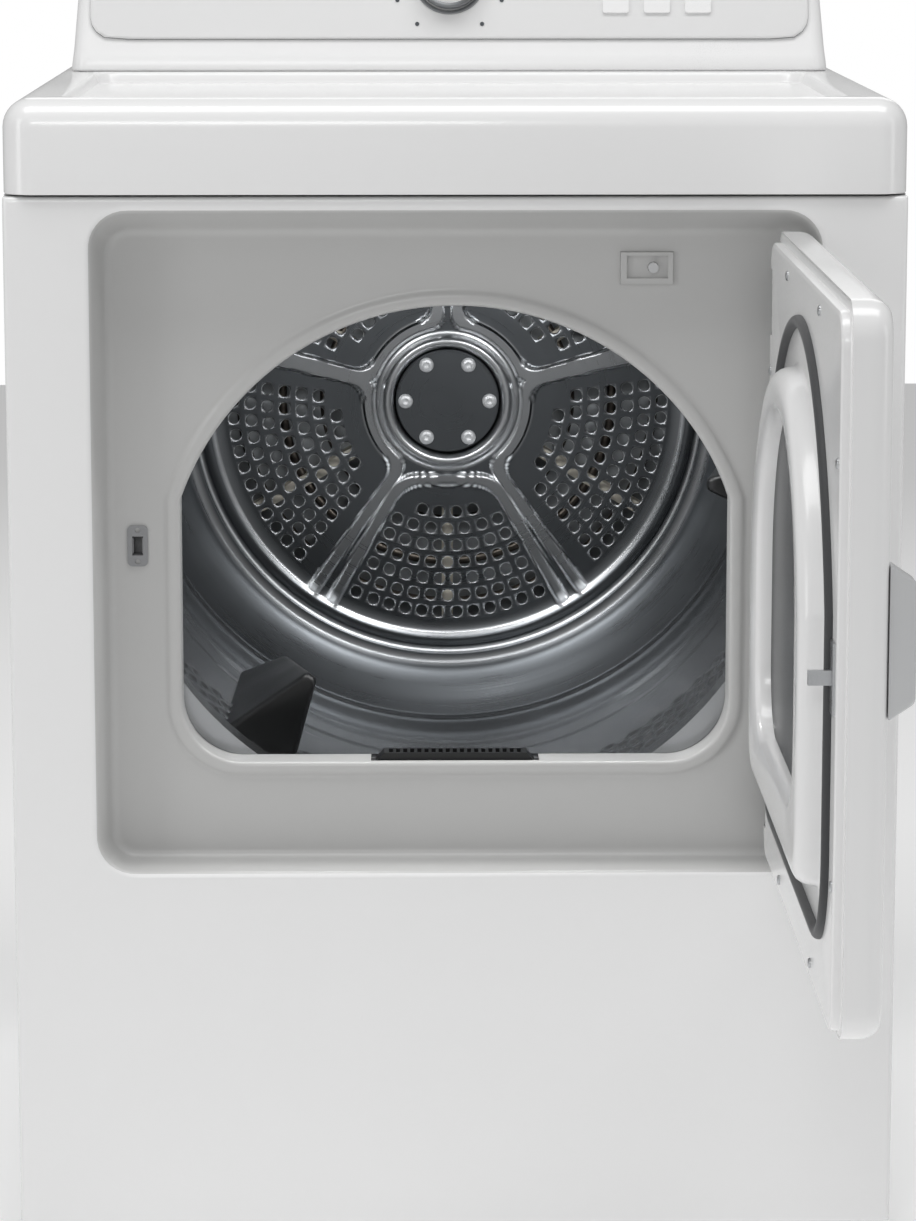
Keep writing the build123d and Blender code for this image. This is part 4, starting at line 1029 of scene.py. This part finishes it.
class DRYER_OT_door(bpy.types.Operator):
    """Builds the door's shell, liner, dish, seal, handle and screws, a quarter turn open."""
    bl_idname = "dryer.door"
    bl_label = "Door"

    def execute(self, context):
        f = finishes()
        notches = []
        for z in (368, 752):
            corner = swing(np.array([[246, 8, z - 25], [272, 40, z + 25]], float))
            notches.append((tuple(corner.min(0)), tuple(corner.max(0))))
        add_piece("door_shell", door_shell(), f["white_enamel"], "door", ["door_outer_shell"],
                  wall=1.2, windows=notches, turned=True)
        add_piece("door_liner", door_liner(), f["white_enamel"], "door", ["door_inner_panel"],
                  wall=0, windows=notches, turned=True)
        add_piece("dish_liner", door_dish(), f["dish"], "door", ["door_dish"], turned=True)
        add_piece("door_seal", door_seal(), f["rubber"], "door", ["door_gasket"], turned=True)
        add_piece("door_grip", door_grip(), f["grip"], "door", ["door_handle"], turned=True)
        spots = ((250, 700), (250, 420), (-253, 700), (-253, 420), (-120, 785), (120, 785), (-120, 333),
                 (120, 333))
        add_piece("door_screw_heads", domes(spots, 3.6, 1.7, 37.05, out=1), f["steel"], "door",
                  ["door_screws"],
                  turned=True)
        finish_nodes(("door_strike", "door_hinge_leaves"), f["steel"])
        return {"FINISHED"}


class DRYER_OT_fittings(bpy.types.Operator):
    """Gives the remaining parts of the works their finishes."""
    bl_idname = "dryer.fittings"
    bl_label = "Works and fittings"

    def execute(self, context):
        slots = {row["node"]: row["material_slot"] for row in frame["record"]["subparts"]}
        own = {made.name for made in finishes().values()}
        for name, node in frame["nodes"].items():
            if node.hide_render:
                continue
            used = node.data.materials[0] if node.data.materials else None
            if used is None or used.name not in own:
                finish_nodes((name,), finishes()[slots[name]])
        # The switch sits in the recess and takes its greyer enamel: painted shade.
        finish_nodes(("door_switch",), finishes()["inner_enamel"])
        finish_nodes(("door_switch_plunger",), finishes()["grip"])
        finish_nodes(("lint_filter",), finishes()["dark_plastic"])
        return {"FINISHED"}


class DRYER_PT_panel(bpy.types.Panel):
    """Lists the dryer's pieces, sizes and colours."""
    bl_idname = "DRYER_PT_panel"
    bl_label = "Clothes dryer"
    bl_space_type = "VIEW_3D"
    bl_region_type = "UI"
    bl_category = "Dryer"

    def draw(self, context):
        for operator in OPERATORS:
            self.layout.operator(operator.bl_idname)
        for group in (context.scene.dryer_sizes, context.scene.dryer_colours):
            for name in group.__annotations__:
                self.layout.prop(group, name)


OPERATORS = (DRYER_OT_stage, DRYER_OT_cabinet, DRYER_OT_console, DRYER_OT_drum, DRYER_OT_door,
             DRYER_OT_fittings)
CLASSES = (DryerSizes, DryerColours, *OPERATORS, DRYER_PT_panel)


def register():
    """Registers the classes and hangs the sizes and colours on the scene."""
    for item in CLASSES:
        bpy.utils.register_class(item)
    bpy.types.Scene.dryer_sizes = PointerProperty(type=DryerSizes)
    bpy.types.Scene.dryer_colours = PointerProperty(type=DryerColours)


def unregister():
    """Takes back what register() set up."""
    del bpy.types.Scene.dryer_colours
    del bpy.types.Scene.dryer_sizes
    for item in reversed(CLASSES):
        bpy.utils.unregister_class(item)


def main():
    """Builds the dryer piece by piece."""
    register()
    bpy.ops.dryer.stage()
    bpy.ops.dryer.cabinet()
    bpy.ops.dryer.console()
    bpy.ops.dryer.drum()
    bpy.ops.dryer.door()
    bpy.ops.dryer.fittings()
    bpy.context.view_layer.update()


if __name__ == "__main__":
    main()
